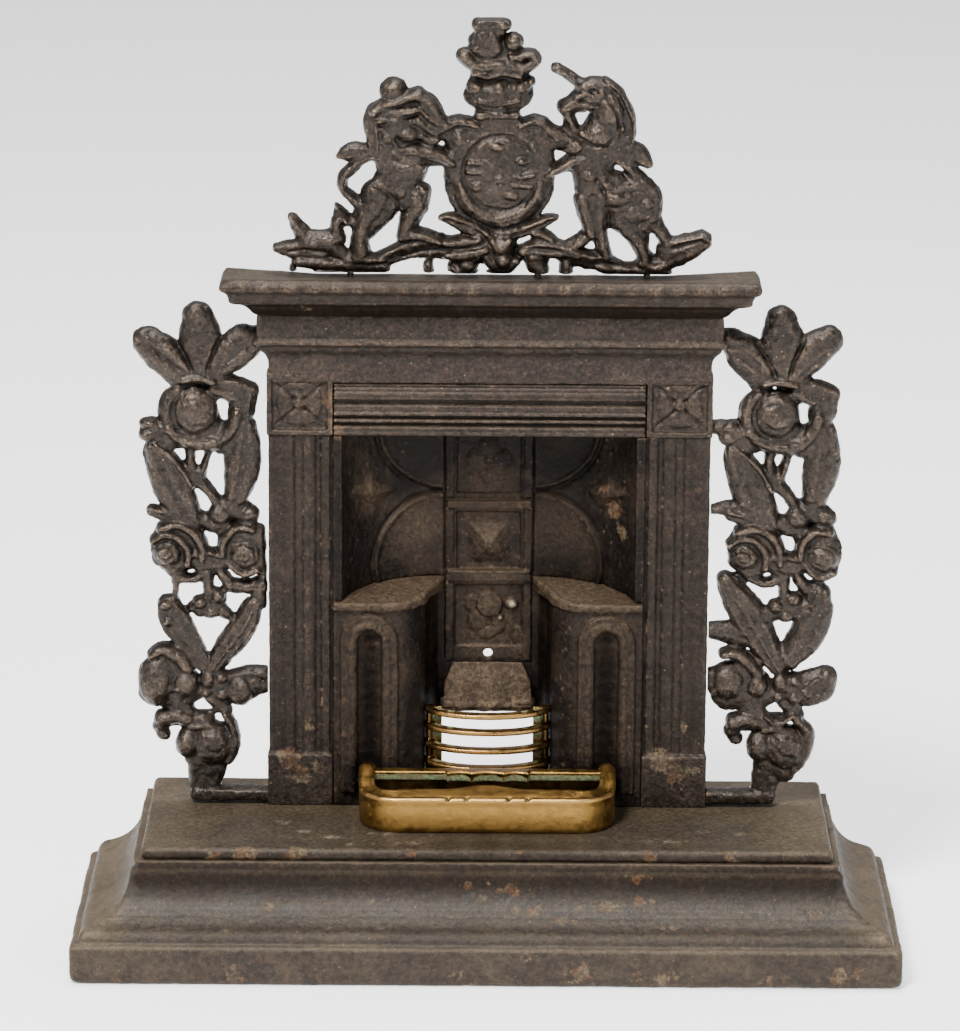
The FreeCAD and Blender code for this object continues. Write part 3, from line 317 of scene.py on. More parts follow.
PLINTH_IRON = cast_iron("plinth_iron", (0.015, 0.0105, 0.0072), (0.046, 0.032, 0.0215), (0.12, 0.086, 0.056),
                        (0.092, 0.070, 0.044), 0.8, 0.25, 0.52, 0.34, 0.5)
SURROUND_IRON = cast_iron("surround_iron", (0.0088, 0.0061, 0.0046), (0.030, 0.0212, 0.016), (0.135, 0.096, 0.067),
                          (0.062, 0.048, 0.034), 0.7, 0.4, 0.46, 0.28)
# a darker copy of the iron for the insert: painted shade inside the fireplace opening, with less shine
INSERT_IRON_IN_SHADE = cast_iron("insert_iron", (0.0036, 0.0025, 0.0021), (0.0094, 0.0066, 0.0054), (0.085, 0.059, 0.042),
                        (0.064, 0.045, 0.029), 0.8, 0.35, 0.5, 0.15, 0.7)
RELIEF_IRON = cast_iron("relief_iron", (0.0075, 0.0054, 0.0040), (0.028, 0.0203, 0.0147), (0.16, 0.117, 0.083),
                        (0.052, 0.040, 0.030), 0.4, 0.6, 0.34, 0.5)
FASTENER_IRON = cast_iron("fastener_iron", (0.03, 0.027, 0.025), (0.05, 0.045, 0.042), (0.15, 0.14, 0.12),
                          (0.07, 0.065, 0.06), 0.4, 0.7, 0.45)
FENDER_BRASS = brass("fender_brass", (0.30, 0.172, 0.046), (0.17, 0.088, 0.024), 0.34)
GRATE_BRASS = brass("grate_brass", (0.32, 0.185, 0.062), (0.11, 0.064, 0.024), 0.3)


# ---------------------------------------------------------------- shapes: points and faces gathered in millimetres

def ring_faces(count, size):
    """Faces of a closed skin over count rings of size points each, capped at both ends."""
    faces = [(r * size + k, r * size + (k + 1) % size, (r + 1) * size + (k + 1) % size, (r + 1) * size + k)
             for r in range(count - 1) for k in range(size)]
    return faces + [tuple(reversed(range(size))), tuple((count - 1) * size + k for k in range(size))]


class Pile:
    """Closed shapes gathered for one casting; where they overlap, melting makes them one skin."""

    def __init__(self):
        self.points, self.faces, self.total = [], [], 0

    def add(self, points, faces):
        points = np.asarray(points, float)
        self.points.append(points)
        self.faces += [tuple(corner + self.total for corner in face) for face in faces]
        self.total += len(points)
        return self

    def add_node(self, node):
        """A CAD node's own mesh."""
        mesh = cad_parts[node].data
        return self.add([tuple(v.co / MM) for v in mesh.vertices], [tuple(p.vertices) for p in mesh.polygons])

    def add_cushion(self, node, depth, reach, cell=0.35):
        """The outline of a CAD node seen from the front, swollen like a cushion from its rim inwards."""
        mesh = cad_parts[node].data
        tree = BVHTree.FromPolygons([v.co / MM for v in mesh.vertices], [tuple(p.vertices) for p in mesh.polygons])
        low, high = node_box(node)
        across = np.arange(low[0] - cell, high[0] + 2 * cell, cell)
        up = np.arange(low[2] - cell, high[2] + 2 * cell, cell)
        way = Vector((0, 1, 0))
        inside = np.array([[tree.ray_cast(Vector((x, low[1] - 5, z)), way)[0] is not None for z in up] for x in across])
        away = np.where(inside, 99.0, 0.0)
        for _ in range(int(reach / cell) + 2):
            for east, north in ((0, 1), (0, -1), (1, 0), (-1, 0), (1, 1), (1, -1), (-1, 1), (-1, -1)):
                step = cell * math.hypot(east, north)
                away = np.minimum(away, np.roll(away, (east, north), (0, 1)) + step)
        swell = depth * (0.3 + 0.7 * np.sqrt(1 - (1 - np.clip(away / reach, 0, 1)) ** 2))
        grid_x, grid_z = np.meshgrid(across, up, indexing="ij")
        front = np.column_stack([grid_x.ravel(), high[1] - swell.ravel(), grid_z.ravel()])
        rear = np.column_stack([grid_x.ravel(), np.full(grid_x.size, high[1]), grid_z.ravel()])
        rows, count = len(up), grid_x.size
        full = inside[:-1, :-1] & inside[1:, :-1] & inside[:-1, 1:] & inside[1:, 1:]
        full = np.pad(full, 1)
        faces = []
        for i, j in np.argwhere(full):
            i, j = i - 1, j - 1
            a, b, c, d = i * rows + j, (i + 1) * rows + j, (i + 1) * rows + j + 1, i * rows + j + 1
            faces += [(a, b, c, d), (a + count, d + count, c + count, b + count)]
            for missing, start, end in ((not full[i + 1, j], a, b), (not full[i + 2, j + 1], b, c),
                                        (not full[i + 1, j + 2], c, d), (not full[i, j + 1], d, a)):
                if missing:
                    faces.append((end, start, start + count, end + count))
        return self.add(np.vstack([front, rear]), faces)

    def tube(self, places, sides, depths, side_way, depth_way, flat_at=None, corners=20, square=1.0):
        """A closed tube through places, with a radius along each of two directions at every place.

        A square under 1 makes the round section boxier.
        """
        turn = np.linspace(0, 2 * math.pi, corners, endpoint=False)
        round_x = np.sign(np.cos(turn)) * np.abs(np.cos(turn)) ** square
        round_y = np.sign(np.sin(turn)) * np.abs(np.sin(turn)) ** square
        side_way, depth_way = np.asarray(side_way, float), np.asarray(depth_way, float)
        if side_way.ndim == 1:
            side_way = np.tile(side_way, (len(places), 1))
        rings = [np.asarray(place) + np.outer(round_x * side, across) + np.outer(round_y * depth, depth_way)
                 for place, side, depth, across in zip(places, sides, depths, side_way)]
        points = np.concatenate(rings)
        if flat_at is not None:
            points[:, 1] = np.minimum(points[:, 1], flat_at)
        return self.add(points, ring_faces(len(places), corners))

    def bar(self, start, start_radius, end, end_radius, corners=16):
        """A round bar with round ends, between two points."""
        start, end = np.asarray(start, float), np.asarray(end, float)
        way = (end - start) / max(np.linalg.norm(end - start), 1e-6)
        across = np.cross(way, (0.0, 0.0, 1.0) if abs(way[2]) < 0.9 else (0.0, 1.0, 0.0))
        across /= np.linalg.norm(across)
        turns = np.linspace(-math.pi / 2, 0, 6)
        places = [start + way * start_radius * math.sin(turn) for turn in turns]
        places += [end + way * end_radius * math.sin(-turn) for turn in turns[::-1]]
        radii = [max(start_radius * math.cos(turn), 0.02) for turn in turns]
        radii += [max(end_radius * math.cos(turn), 0.02) for turn in turns[::-1]]
        return self.tube(places, radii, radii, across, np.cross(way, across), corners=corners)

    def ball(self, centre, radii, flat_at=None, corners=20):
        """An ellipsoid with radii along X, Y and Z."""
        turns = np.linspace(-math.pi / 2, math.pi / 2, 13)
        places = [np.asarray(centre, float) + (0, 0, radii[2] * math.sin(turn)) for turn in turns]
        rounds = [max(math.cos(turn), 0.004) for turn in turns]
        return self.tube(places, [radii[0] * part for part in rounds], [radii[1] * part for part in rounds],
                         (1, 0, 0), (0, 1, 0), flat_at, corners)

    def box(self, low, high):
        x0, y0, z0 = low
        x1, y1, z1 = high
        points = [(x0, y0, z0), (x1, y0, z0), (x1, y1, z0), (x0, y1, z0), (x0, y0, z1), (x1, y0, z1), (x1, y1, z1),
                  (x0, y1, z1)]
        return self.add(points, [(0, 3, 2, 1), (4, 5, 6, 7), (0, 1, 5, 4), (1, 2, 6, 5), (2, 3, 7, 6), (3, 0, 4, 7)])


def make_object(name, points, faces):
    mesh = bpy.data.meshes.new(name)
    mesh.from_pydata((np.asarray(points) * MM).tolist(), [], faces)
    mesh.validate()
    piece = bpy.data.objects.new(name, mesh)
    bpy.context.scene.collection.objects.link(piece)
    return piece


def bake_modifiers(piece):
    """Applies the piece's modifiers to its mesh."""
    graph = bpy.context.evaluated_depsgraph_get()
    mesh = bpy.data.meshes.new_from_object(piece.evaluated_get(graph))
    piece.modifiers.clear()
    old = piece.data
    piece.data = mesh
    bpy.data.meshes.remove(old)
    return piece


def soften(piece, times):
    """Eases the piece's surface, the given number of times."""
    smooth = piece.modifiers.new("soft", "SMOOTH")
    smooth.factor, smooth.iterations = 0.5, times
    return bake_modifiers(piece)


def melt(name, pile, voxel, smoothing):
    """One closed skin round everything in the pile, softened like a worn casting."""
    piece = make_object(name, np.concatenate(pile.points), pile.faces)
    fix = piece.modifiers.new("skin", "REMESH")
    fix.mode, fix.voxel_size, fix.use_smooth_shade = "VOXEL", voxel * MM, True
    soften(piece, smoothing)
    piece.data.shade_smooth()
    return piece


def points_of(piece):
    points = np.empty(len(piece.data.vertices) * 3, np.float32)
    piece.data.vertices.foreach_get("co", points)
    return points.reshape(-1, 3).astype(float) / MM


def normals_of(piece):
    normals = np.empty(len(piece.data.vertices) * 3, np.float32)
    piece.data.vertex_normals.foreach_get("vector", normals)
    return normals.reshape(-1, 3).astype(float)


def set_points(piece, points):
    piece.data.vertices.foreach_set("co", (points * MM).astype(np.float32).ravel())
    piece.data.update()


def lattice_noise(points, size, seed):
    """Smooth noise from -1 to 1 with blobs about size across; the same every run."""
    scaled = points / size + seed * 17.31
    cell = np.floor(scaled).astype(np.int64)
    part = scaled - cell
    part = part * part * (3 - 2 * part)
    total = np.zeros(len(points))
    for corner in range(8):
        offset = np.array([corner & 1, corner >> 1 & 1, corner >> 2 & 1])
        key = (cell + offset) * np.array([73856093, 19349663, 83492791])
        mixed = (key[:, 0] ^ key[:, 1] ^ key[:, 2] ^ (seed * 2654435761)) & 0xFFFFFFFF
        mixed = (mixed ^ (mixed >> 15)) * 2246822519 & 0xFFFFFFFF
        mixed = (mixed ^ (mixed >> 13)) * 3266489917 & 0xFFFFFFFF
        mixed ^= mixed >> 16
        weight = np.prod(np.where(offset, part, 1 - part), axis=1)
        total += weight * (mixed / 0x7FFFFFFF - 1)
    return total


def weather(piece, seed, wave=0.10, grit=0.05, pits=0.10, lumps=0.0):
    """Uneven cast skin: slow waves, lumps, sand grain and a few pits, in millimetres along the normal."""
    points, normals = points_of(piece), normals_of(piece)
    push = wave * lattice_noise(points, 11, seed) + 0.5 * wave * lattice_noise(points, 4.5, seed + 1)
    push += grit * lattice_noise(points, 1.5, seed + 2) + 0.6 * grit * lattice_noise(points, 0.75, seed + 3)
    push += lumps * lattice_noise(points, 2.7, seed + 6)
    push -= pits * np.clip(lattice_noise(points, 1.9, seed + 4) - 0.5, 0, 1) * 2
    set_points(piece, points + normals * push[:, None])
    return piece


def distance_to_line(flat, line):
    """Each point's distance to a polyline, and how far along it, from 0 to 1."""
    line = np.asarray(line, float)
    lengths = np.linalg.norm(np.diff(line, axis=0), axis=1)
    whole, run = lengths.sum(), 0.0
    best, along = np.full(len(flat), 1e9), np.zeros(len(flat))
    for start, end, length in zip(line[:-1], line[1:], lengths):
        way = (end - start) / max(length, 1e-9)
        t = np.clip((flat - start) @ way, 0, length)
        distance = np.linalg.norm(flat - start - np.outer(t, way), axis=1)
        nearer = distance < best
        best[nearer], along[nearer] = distance[nearer], (run + t[nearer]) / max(whole, 1e-9)
        run += length
    return best, along


def carve(piece, strokes, facing=(0, -1, 0), plane=(0, 2)):
    """Works strokes, each (line, width, rise), into the side that faces the viewer. A groove's rise is negative."""
    points, normals = points_of(piece), normals_of(piece)
    front = np.clip((normals @ np.asarray(facing, float) - 0.05) / 0.4, 0, 1)
    flat, push = points[:, list(plane)], np.zeros(len(points))
    for line, width, rise in strokes:
        line = np.asarray(line, float)
        low, high = line.min(axis=0) - 2.6 * width, line.max(axis=0) + 2.6 * width
        near = np.flatnonzero(np.all((flat > low) & (flat < high), axis=1) & (front > 0))
        if len(near):
            distance, along = distance_to_line(flat[near], line)
            fade = np.clip(np.minimum(along, 1 - along) * 6 + 0.25, 0, 1)
            push[near] += rise * fade * np.exp(-(distance / width) ** 2)
    set_points(piece, points + np.asarray(facing, float) * (push * front)[:, None])
    return piece


def keep_inside(piece, low, high):
    set_points(piece, np.clip(points_of(piece), low, high))


def paint(piece, name, spots):
    """A mask that fades out round each spot. A spot is (x, y, z, radius, strength)."""
    points = points_of(piece)
    amount = np.zeros(len(points))
    for x, y, z, radius, strength in spots:
        distance = np.linalg.norm(points - (x, y, z), axis=1) / radius
        amount = np.maximum(amount, strength * np.clip(1.25 - distance, 0, 1))
    mask = piece.data.attributes.get(name) or piece.data.attributes.new(name, "FLOAT", "POINT")
    mask.data.foreach_set("value", amount.astype(np.float32))
    return piece


def scattered(spots, seed):
    """Breaks each spot of a mask into an uneven patch with smaller ones beside it."""
    random = np.random.default_rng(seed)
    broken = []
    for x, y, z, radius, strength in spots:
        broken.append((x, y, z, 0.6 * radius, strength))
        for across, up in random.normal(0, 0.6 * radius, (5, 2)):
            broken.append((x + 1.6 * across, y - 0.35 * up, z + 0.6 * up, random.uniform(0.2, 0.45) * radius, strength))
    return broken


def mark_relief_shade_and_highlight(piece, reach=2.6, contrast=1.0, cell=0.4):
    """Masks "high" and "low" for points that stand out from, or lie behind, what is round them in front view; the iron
    paints shade where "low" and rubbed wear with a painted highlight where "high".
    """
    points = points_of(piece)
    start = points.min(axis=0) - reach
    across, up = [((points[:, axis] - start[axis]) / cell).astype(int) for axis in (0, 2)]
    nearest = np.full((across.max() + int(reach / cell) + 2, up.max() + int(reach / cell) + 2), 1e3)
    np.minimum.at(nearest, (across, up), points[:, 1])
    covered = (nearest < 1e3).astype(float)
    total, weight = nearest * covered, covered
    for _ in range(int((reach / cell) ** 2 / 1.4)):
        for axis in (0, 1):
            total = (np.roll(total, 1, axis) + 2 * total + np.roll(total, -1, axis)) / 4
            weight = (np.roll(weight, 1, axis) + 2 * weight + np.roll(weight, -1, axis)) / 4
    level = (total / np.maximum(weight, 1e-6))[across, up]
    rise = np.where(points[:, 1] < nearest[across, up] + 1.6, level - points[:, 1], 0) * contrast
    for name, amount in (("high", np.clip(rise / 1.5 - 0.15, 0, 1)), ("low", np.clip(-rise / 1.3 - 0.1, 0, 1))):
        piece.data.attributes.new(name, "FLOAT", "POINT").data.foreach_set("value", amount.astype(np.float32))
    return piece


def settle(piece, material, nodes, body="mantel"):
    """Gives a finished piece its material and its body, and hides the CAD nodes that it stands for."""
    piece.data.materials.clear()
    piece.data.materials.append(material)
    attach(piece, body)
    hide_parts(*nodes)
    return piece


# ---------------------------------------------------------------- swept mouldings with a flat back

def round_profile(corners, step=0.55, softness=2):
    """Points along a profile of (out, z) or (out, z, bulge) corners, with its sharp turns eased."""
    points = []
    for index, corner in enumerate(corners[:-1]):
        start, end = np.array(corner[:2], float), np.array(corners[index + 1][:2], float)
        chord = np.linalg.norm(end - start)
        bulge = corner[2] if len(corner) > 2 else 0
        count = max(1, int(round(chord / step)))
        side = np.array([end[1] - start[1], start[0] - end[0]]) / max(chord, 1e-9)
        for part in np.arange(count) / count:
            lift = bulge * chord / 2 * (1 - (2 * part - 1) ** 2)
            points.append(start + (end - start) * part + side * lift)
    points.append(np.array(corners[-1][:2], float))
    points = np.array(points)
    for _ in range(softness):
        points[1:-1] = 0.25 * points[:-2] + 0.5 * points[1:-1] + 0.25 * points[2:]
    return points


def round_corner(points, side, lip, radius):
    """Points of a rectangle in plan with its two front corners rounded."""
    points = np.array(points, float)
    east, near = np.abs(points[:, 0]) - side + radius, -points[:, 1] - lip + radius
    both = (east > 0) & (near > 0)
    scale = np.where(both, np.maximum(east, near) / np.maximum(np.hypot(east, near), 1e-9), 1)
    points[:, 0] = np.where(both, np.sign(points[:, 0]) * (side - radius + east * scale), points[:, 0])
    points[:, 1] = np.where(both, -(lip - radius + near * scale), points[:, 1])
    return points


def moulding(name, corners, half, front, back, step=1.0, radius=0.8):
    """A slab whose moulded edge runs round both sides and the front with mitred corners; closed all round."""
    profile = round_profile(corners)
    reach = max(profile[:, 0])
    across = max(8, int(2 * (half + reach) / step))
    deep = max(6, int((back + front + reach) / step))
    widths = np.linspace(-1, 1, across + 1)
    depths = np.linspace(0, 1, deep + 1)
    pile = Pile()

    def grid(rows):
        rows = np.asarray(rows)
        height, width = rows.shape[:2]
        faces = [(r * width + c, r * width + c + 1, (r + 1) * width + c + 1, (r + 1) * width + c)
                 for r in range(height - 1) for c in range(width - 1)]
        pile.add(rows.reshape(-1, 3), faces)

    band = []
    for out, z in profile:
        side, lip = half + out, front + out
        left = [(-side, back + part * (-lip - back), z) for part in depths]
        middle = [(part * side, -lip, z) for part in widths[1:-1]]
        right = [(side, -lip + part * (back + lip), z) for part in depths]
        band.append(round_corner(left + middle + right, side, lip, radius))
    grid(band)
    for (out, z), flip in ((profile[0], True), (profile[-1], False)):
        side, lip = half + out, front + out
        rows = [round_corner([(part * side, -lip + depth * (back + lip), z) for part in widths], side, lip, radius)
                for depth in 1 - depths[::-1]]
        grid(rows[::-1] if flip else rows)
    grid([[(part * (half + out), back, z) for part in widths] for out, z in profile][::-1])
    piece = make_object(name, np.concatenate(pile.points), pile.faces)
    weld = piece.modifiers.new("weld", "WELD")
    weld.merge_threshold = 0.02 * MM
    bake_modifiers(piece)
    make_normals_point_out(piece)
    piece.data.shade_smooth()
    return piece


def make_normals_point_out(piece):
    shape = bmesh.new()
    shape.from_mesh(piece.data)
    bmesh.ops.recalc_face_normals(shape, faces=shape.faces)
    shape.to_mesh(piece.data)
    shape.free()


BASE_EDGE = [
    (18.9, 0), (20.1, 0.8), (20.5, 2.2), (20.5, 11.2, 0.35), (19.2, 12.9), (17.8, 12.9, 0.35), (15, 16.8, -0.36),
    (2.2, 29.5), (2.2, 31.3), (1.2, 32.2), (0.6, 32.8), (1, 33.4), (1, 35.1),
]
SLAB_EDGE = [(-0.8, 35.1), (-0.8, 35.6), (0, 36.1), (0, 37.7, 0.3), (-1.2, 39)]
BASE_OUT = BASE_EDGE[2][0]
SLAB_EXTRA = 1.6  # the photo's slab is wider than the CAD's on each side


def build_base():
    half, front, back = PLINTH_HIGH[0] - BASE_OUT, -PLINTH_LOW[1] - BASE_OUT, PLINTH_HIGH[1]
    plinth = moulding("base_plinth_casting", BASE_EDGE, half, front, back, 1.1, 2.4)
    soften(plinth, 2)
    weather(plinth, 3, 0.16, 0.08, 0.18, 0.06)
    keep_inside(plinth, PLINTH_LOW, PLINTH_HIGH)
    mark_relief_shade_and_highlight(plinth, 2.6, 0.5, 1.3)
    paint(plinth, "pale", scattered([(x, y, z, radius, 0.34) for x, y, z, radius in [
        (-100.6, -40.5, 16.5, 2.4), (-83, -41, 16, 2.2), (-74.5, -38, 20, 3), (-57.5, -38.5, 19.5, 1.8),
        (-50, -39.5, 17.5, 2), (-37, -32, 25, 3.4), (-2, -31.5, 26, 4), (-49, -32, 25.5, 2),
        (-34.5, -39.5, 17, 1.6), (70, -38, 20, 2.2), (86, -36, 22, 3), (98, -41, 15, 2.4)]], 17))
    paint(plinth, "rust", scattered([
        (104, -34, 22, 4.5, 0.95), (8, -30, 27, 5, 0.72), (15, -33, 22, 5, 0.8), (24, -36, 18, 4.5, 0.72),
        (38, -32, 22, 5, 0.78), (49, -31, 24, 4.5, 0.7), (60, -38, 16, 4, 0.8), (-6, -29, 28, 4, 0.6),
        (48, -28, 30, 3.4, 0.85), (-70, -33, 22, 5, 0.55), (-40, -44, 12, 6, 0.3), (74, -36, 17, 4, 0.4),
        (30, -47, 5, 14, 0.42), (0, -47, 3, 12, 0.36), (56, -47, 3, 12, 0.42), (-80, -47, 3, 13, 0.42),
        (-55, -47, 2, 10, 0.36), (112, -47, 4, 9, 0.55), (90, -47, 2, 10, 0.4), (-118, -47, 3, 8, 0.4)], 19))
    paint(plinth, "cool", [(x, y, z, 8, 0.85) for x in range(-112, 113, 2)
                           for y, z in ((-31, 26), (-34, 21), (-38.5, 17))])
    # painted shadow in the upper cove under the slab's overhang, painted shade along the step above the plinth face,
    # and the plinth face a little darker
    paint(plinth, "soot", [(x, -28.6, 30, 8, 0.75) for x in range(-110, 111, 2)]
          + [(x, -41, 15.6, 4.5, 0.55) for x in range(-120, 121, 2)]
          + [(x, -47, z, 7, 0.26) for x in range(-130, 131, 2) for z in (2, 9)])
    settle(plinth, PLINTH_IRON, ["base_plinth"])
    slab = moulding("hearth_slab_plate", SLAB_EDGE, SLAB_HIGH[0] + SLAB_EXTRA, -SLAB_LOW[1], SLAB_HIGH[1], 1.0, 2.0)
    soften(slab, 2)
    weather(slab, 9, 0.12, 0.08, 0.2, 0.06)
    keep_inside(slab, PLINTH_LOW, (PLINTH_HIGH[0], PLINTH_HIGH[1], SLAB_HIGH[2]))
    paint(slab, "rust", [
        (-78, -26.5, 37, 6, 0.6), (-88, -26.5, 36.5, 5, 0.5), (-62, -26.5, 37, 6, 0.55), (-24, -26.5, 38, 4, 0.5),
        (52, -26.5, 37.5, 5, 0.5), (-30, -20, 39, 8, 0.3), (78, -26.5, 37.5, 5, 0.5), (10, -26.5, 38, 6, 0.4),
        (-50, -8, 39, 5, 0.3), (64, -14, 39, 6, 0.3)])
    paint(slab, "pale", scattered([(x, y, 39, radius, 0.42) for x, y, radius in (
        (-51, -13.6, 5), (-66, 1, 4), (-60, -8, 4), (-32, -10, 4), (-44, -20, 3.4), (-24, -19, 4), (58, -16, 4),
        (70, -6, 3.4), (82, -8, 3))], 23))
    paint(slab, "cool", [(x, y, 39, 9, 0.5) for x in range(-84, 85, 3) for y in (-22, -12, -2)])
    paint(slab, "soot", [(x, y, 39, 14, 0.8 - abs(x) / 160) for x in range(-84, 85, 12) for y in (-20, -6, 8, 20)]
          + [(x, -26.5, 36.4, 3, 0.6) for x in range(-110, 111)])
    settle(slab, PLINTH_IRON, ["hearth_slab"])


# ---------------------------------------------------------------- surround

JAMB_REEDS = [(0.9, 0.95, 0.9), (3.7, 1.6, 0.9), (7.0, 1.5, 1.0), (13.2, 2.1, 1.2), (18.5, 1.6, 1.2)]
LINTEL_REEDS = [
    (181.2, 0.55, 0.6), (179.7, 0.5, 0.6), (178.1, 0.75, 1.0), (176.7, 0.6, 0.8), (173.4, 1.2, 0.7), (171.5, 0.6, 1.0),
    (169.2, 0.6, 0.8), (166.8, 0.7, 1.0), (165.0, 0.8, 0.9),
]


def build_jamb(node, side):
    """Pilaster: plinth block, reeded shaft, corner block with four petals round a boss."""
    low, high = node_box(node)
    block_front, back = JAMB_LOW[1] + 0.4, JAMB_HIGH[1]
    outer, inner = (high[0], low[0]) if side > 0 else (low[0], high[0])
    pile = Pile()
    left, right = low[0], high[0]
    pile.box((left, block_front, low[2]), (right, back, 56.5))
    pile.box((left + 0.5, 20.7, 56), (right - 0.5, back, 165))
    for offset, half_width, rise in JAMB_REEDS:
        centre = outer - side * (0.5 + offset)
        places = [(centre, 20.7, z) for z in np.linspace(56, 165, 60)]
        pile.tube(places, [half_width] * 60, [0.62 * rise + 0.55] * 60, (1, 0, 0), (0, 1, 0), square=0.85)
    middle = (left + right) / 2
    pile.box((left, block_front + 1.5, 164.5), (right, back, high[2]))
    for z in (165.4, 184.2):
        pile.box((left, block_front, z - 0.9), (right, back, z + 0.9))
    for x in (left + 0.9, right - 0.9):
        pile.box((x - 0.8, block_front + 0.35, 164.6), (x + 0.8, back, high[2] - 0.1))
    centre_z = 175
    for angle in (0, 90, 180, 270):
        way = math.radians(angle)
        spot = (middle + 4.7 * math.cos(way), block_front + 1.7, centre_z + 4.7 * math.sin(way))
        wide, tall = (2.9, 5.6) if angle in (0, 180) else (6.2, 2.9)
        pile.ball(spot, (wide, 1.5, tall))
    pile.ball((middle, block_front + 0.7, centre_z), (1.9, 1.3, 1.7))
    piece = melt(f"{node}_casting", pile, 0.42, 3)
    strokes = [([(middle + 1.2 * east, centre_z + 1.2 * north), (middle + 8 * east, centre_z + 7.2 * north)], 0.5,
                -0.75)
               for east in (-1, 1) for north in (-1, 1)]
    strokes += [([(middle - 5, centre_z + 5.2), (middle, centre_z + 3.6), (middle + 5, centre_z + 5.2)], 1.0, -0.7),
                ([(middle - 5, centre_z - 5.2), (middle, centre_z - 3.6), (middle + 5, centre_z - 5.2)], 1.0, -0.5)]
    carve(piece, strokes)
    weather(piece, 21 if side > 0 else 24, 0.1, 0.08, 0.14, 0.05)
    mark_relief_shade_and_highlight(piece, 1.6, 0.9)
    spots = [(outer, 19, 70, 5, 0.3), (inner, 19.6, 100, 3, 0.5), (inner, 19.6, 90, 3, 0.45),
             (inner, 19.6, 118, 3, 0.45), (inner, 19.6, 130, 3, 0.4), (middle, 18.5, 50, 6, 0.5),
             (middle - 4, 18.5, 55.5, 6, 0.62), (middle + 6, 18.5, 52, 5, 0.4),
             (inner, 18.5, 176, 4.5, 0.75 if side < 0 else 0.3), (inner, 18.5, 168, 4, 0.6 if side < 0 else 0.2),
             (middle + 3, 18.8, 66, 4, 0.45), (middle, 18.8, 80, 4, 0.35)]
    paint(piece, "rust", spots)
    paint(piece, "soot", [(x, 18.5, z, 9, 0.42) for x in (middle - 5, middle + 5) for z in range(62, 163, 6)])
    settle(piece, SURROUND_IRON, [node])


def build_lintel():
    low, high = LINTEL_LOW, LINTEL_HIGH
    pile = Pile()
    bed = 21.3
    pile.box((low[0] - 0.7, bed, low[2]), (high[0] + 0.7, high[1], high[2]))
    for z, half_height, rise in LINTEL_REEDS:
        places = [(x, bed, z) for x in np.linspace(low[0] + 0.3, high[0] - 0.3, 50)]
        pile.tube(places, [half_height + 0.12] * 50, [rise + 1.0] * 50, (0, 0, 1), (0, 1, 0), square=0.8)
    piece = melt("lintel_casting", pile, 0.32, 2)
    weather(piece, 31, 0.08, 0.06, 0.1, 0.03)
    mark_relief_shade_and_highlight(piece, 1.6, 0.9)
    paint(piece, "rust", [(low[0], 19, 172, 4, 0.4), (low[0] + 2, 19, 166.4, 4.5, 0.5), (low[0] + 1, 19, 178, 3, 0.4),
                          (20, 19, 165, 6, 0.25)])
    settle(piece, SURROUND_IRON, ["lintel"])


CORNICE_EDGE = [(-0.6, 182), (-0.1, 184), (0, 187, -0.3), (3.0, 193.4), (3.0, 194.7), (4.4, 195.3, 0.6), (4.4, 196.7),
                (3.3, 197.3), (3.3, 198.0), (3.6, 198.6), (3.6, 203.4), (3.3, 205)]
SHELF_EDGE = [(3.6, 205), (5.0, 206, -0.25), (10.9, 210.2), (12.1, 210.6), (12.3, 211.6), (11.8, 212.1), (12.6, 212.9),
              (12.8, 213.9), (14.4, 214.7, 0.6), (14.4, 217.3, 0.2), (13.4, 218.5)]


def build_mouldings():
    half, front = 71.4, -18.5
    cornice = moulding("entablature_casting", CORNICE_EDGE, half, front, back_of("entablature"), 0.9)
    soften(cornice, 2)
    weather(cornice, 41, 0.08, 0.07, 0.12, 0.03)
    mark_relief_shade_and_highlight(cornice, 2.6, 0.9, 1.1)
    paint(cornice, "rust", [(-72, 16, 190, 4, 0.4), (0, 14, 204, 10, 0.3), (70, 16, 196, 5, 0.3),
                            (-20, 14, 204, 8, 0.3)])
    settle(cornice, SURROUND_IRON, ["entablature"])
    shelf = moulding("mantel_shelf_casting", SHELF_EDGE, half, front, back_of("mantel_shelf"), 0.9, 1.8)
    soften(shelf, 2)
    weather(shelf, 45, 0.08, 0.07, 0.12, 0.03)
    points = points_of(shelf)
    points[:, 2] -= (1.8 * np.clip((points[:, 1] - 8) / 9, 0, 1) * np.clip((points[:, 2] - 213) / 5.5, 0, 1)
                     * np.clip((86 - np.abs(points[:, 0])) / 30, 0, 1))
    set_points(shelf, points)
    mark_relief_shade_and_highlight(shelf, 2.2, 0.7, 0.8)
    # painted shade in the cove under the shelf's nosing, and a lighter darkening along the front of the nosing
    paint(shelf, "soot", [(x, y, z, 4.6, 1.0) for x in np.arange(-80, 81, 3.0) for y, z in ((9, 208.6), (13, 206))]
          + [(x, 4, 216, 4, 0.4) for x in np.arange(-84, 85, 3.0)])
    paint(shelf, "rust", [(-10, 8, 208, 9, 0.3), (60, 6, 215, 8, 0.3), (-60, 8, 207, 8, 0.4), (25, 6, 216, 8, 0.3)])
    settle(shelf, SURROUND_IRON, ["mantel_shelf"])


# ---------------------------------------------------------------- insert

def along(line):
    """Unit directions along a line of points."""
    ways = np.gradient(np.asarray(line, float), axis=0)
    return ways / np.linalg.norm(ways, axis=1)[:, None]


def span(side, x_low, x_high, y_low, y_high, z_low, z_high):
    """Low and high corners of a box given for the right-hand side."""
    left, right = sorted((side * x_low, side * x_high))
    return (left, y_low, z_low), (right, y_high, z_high)


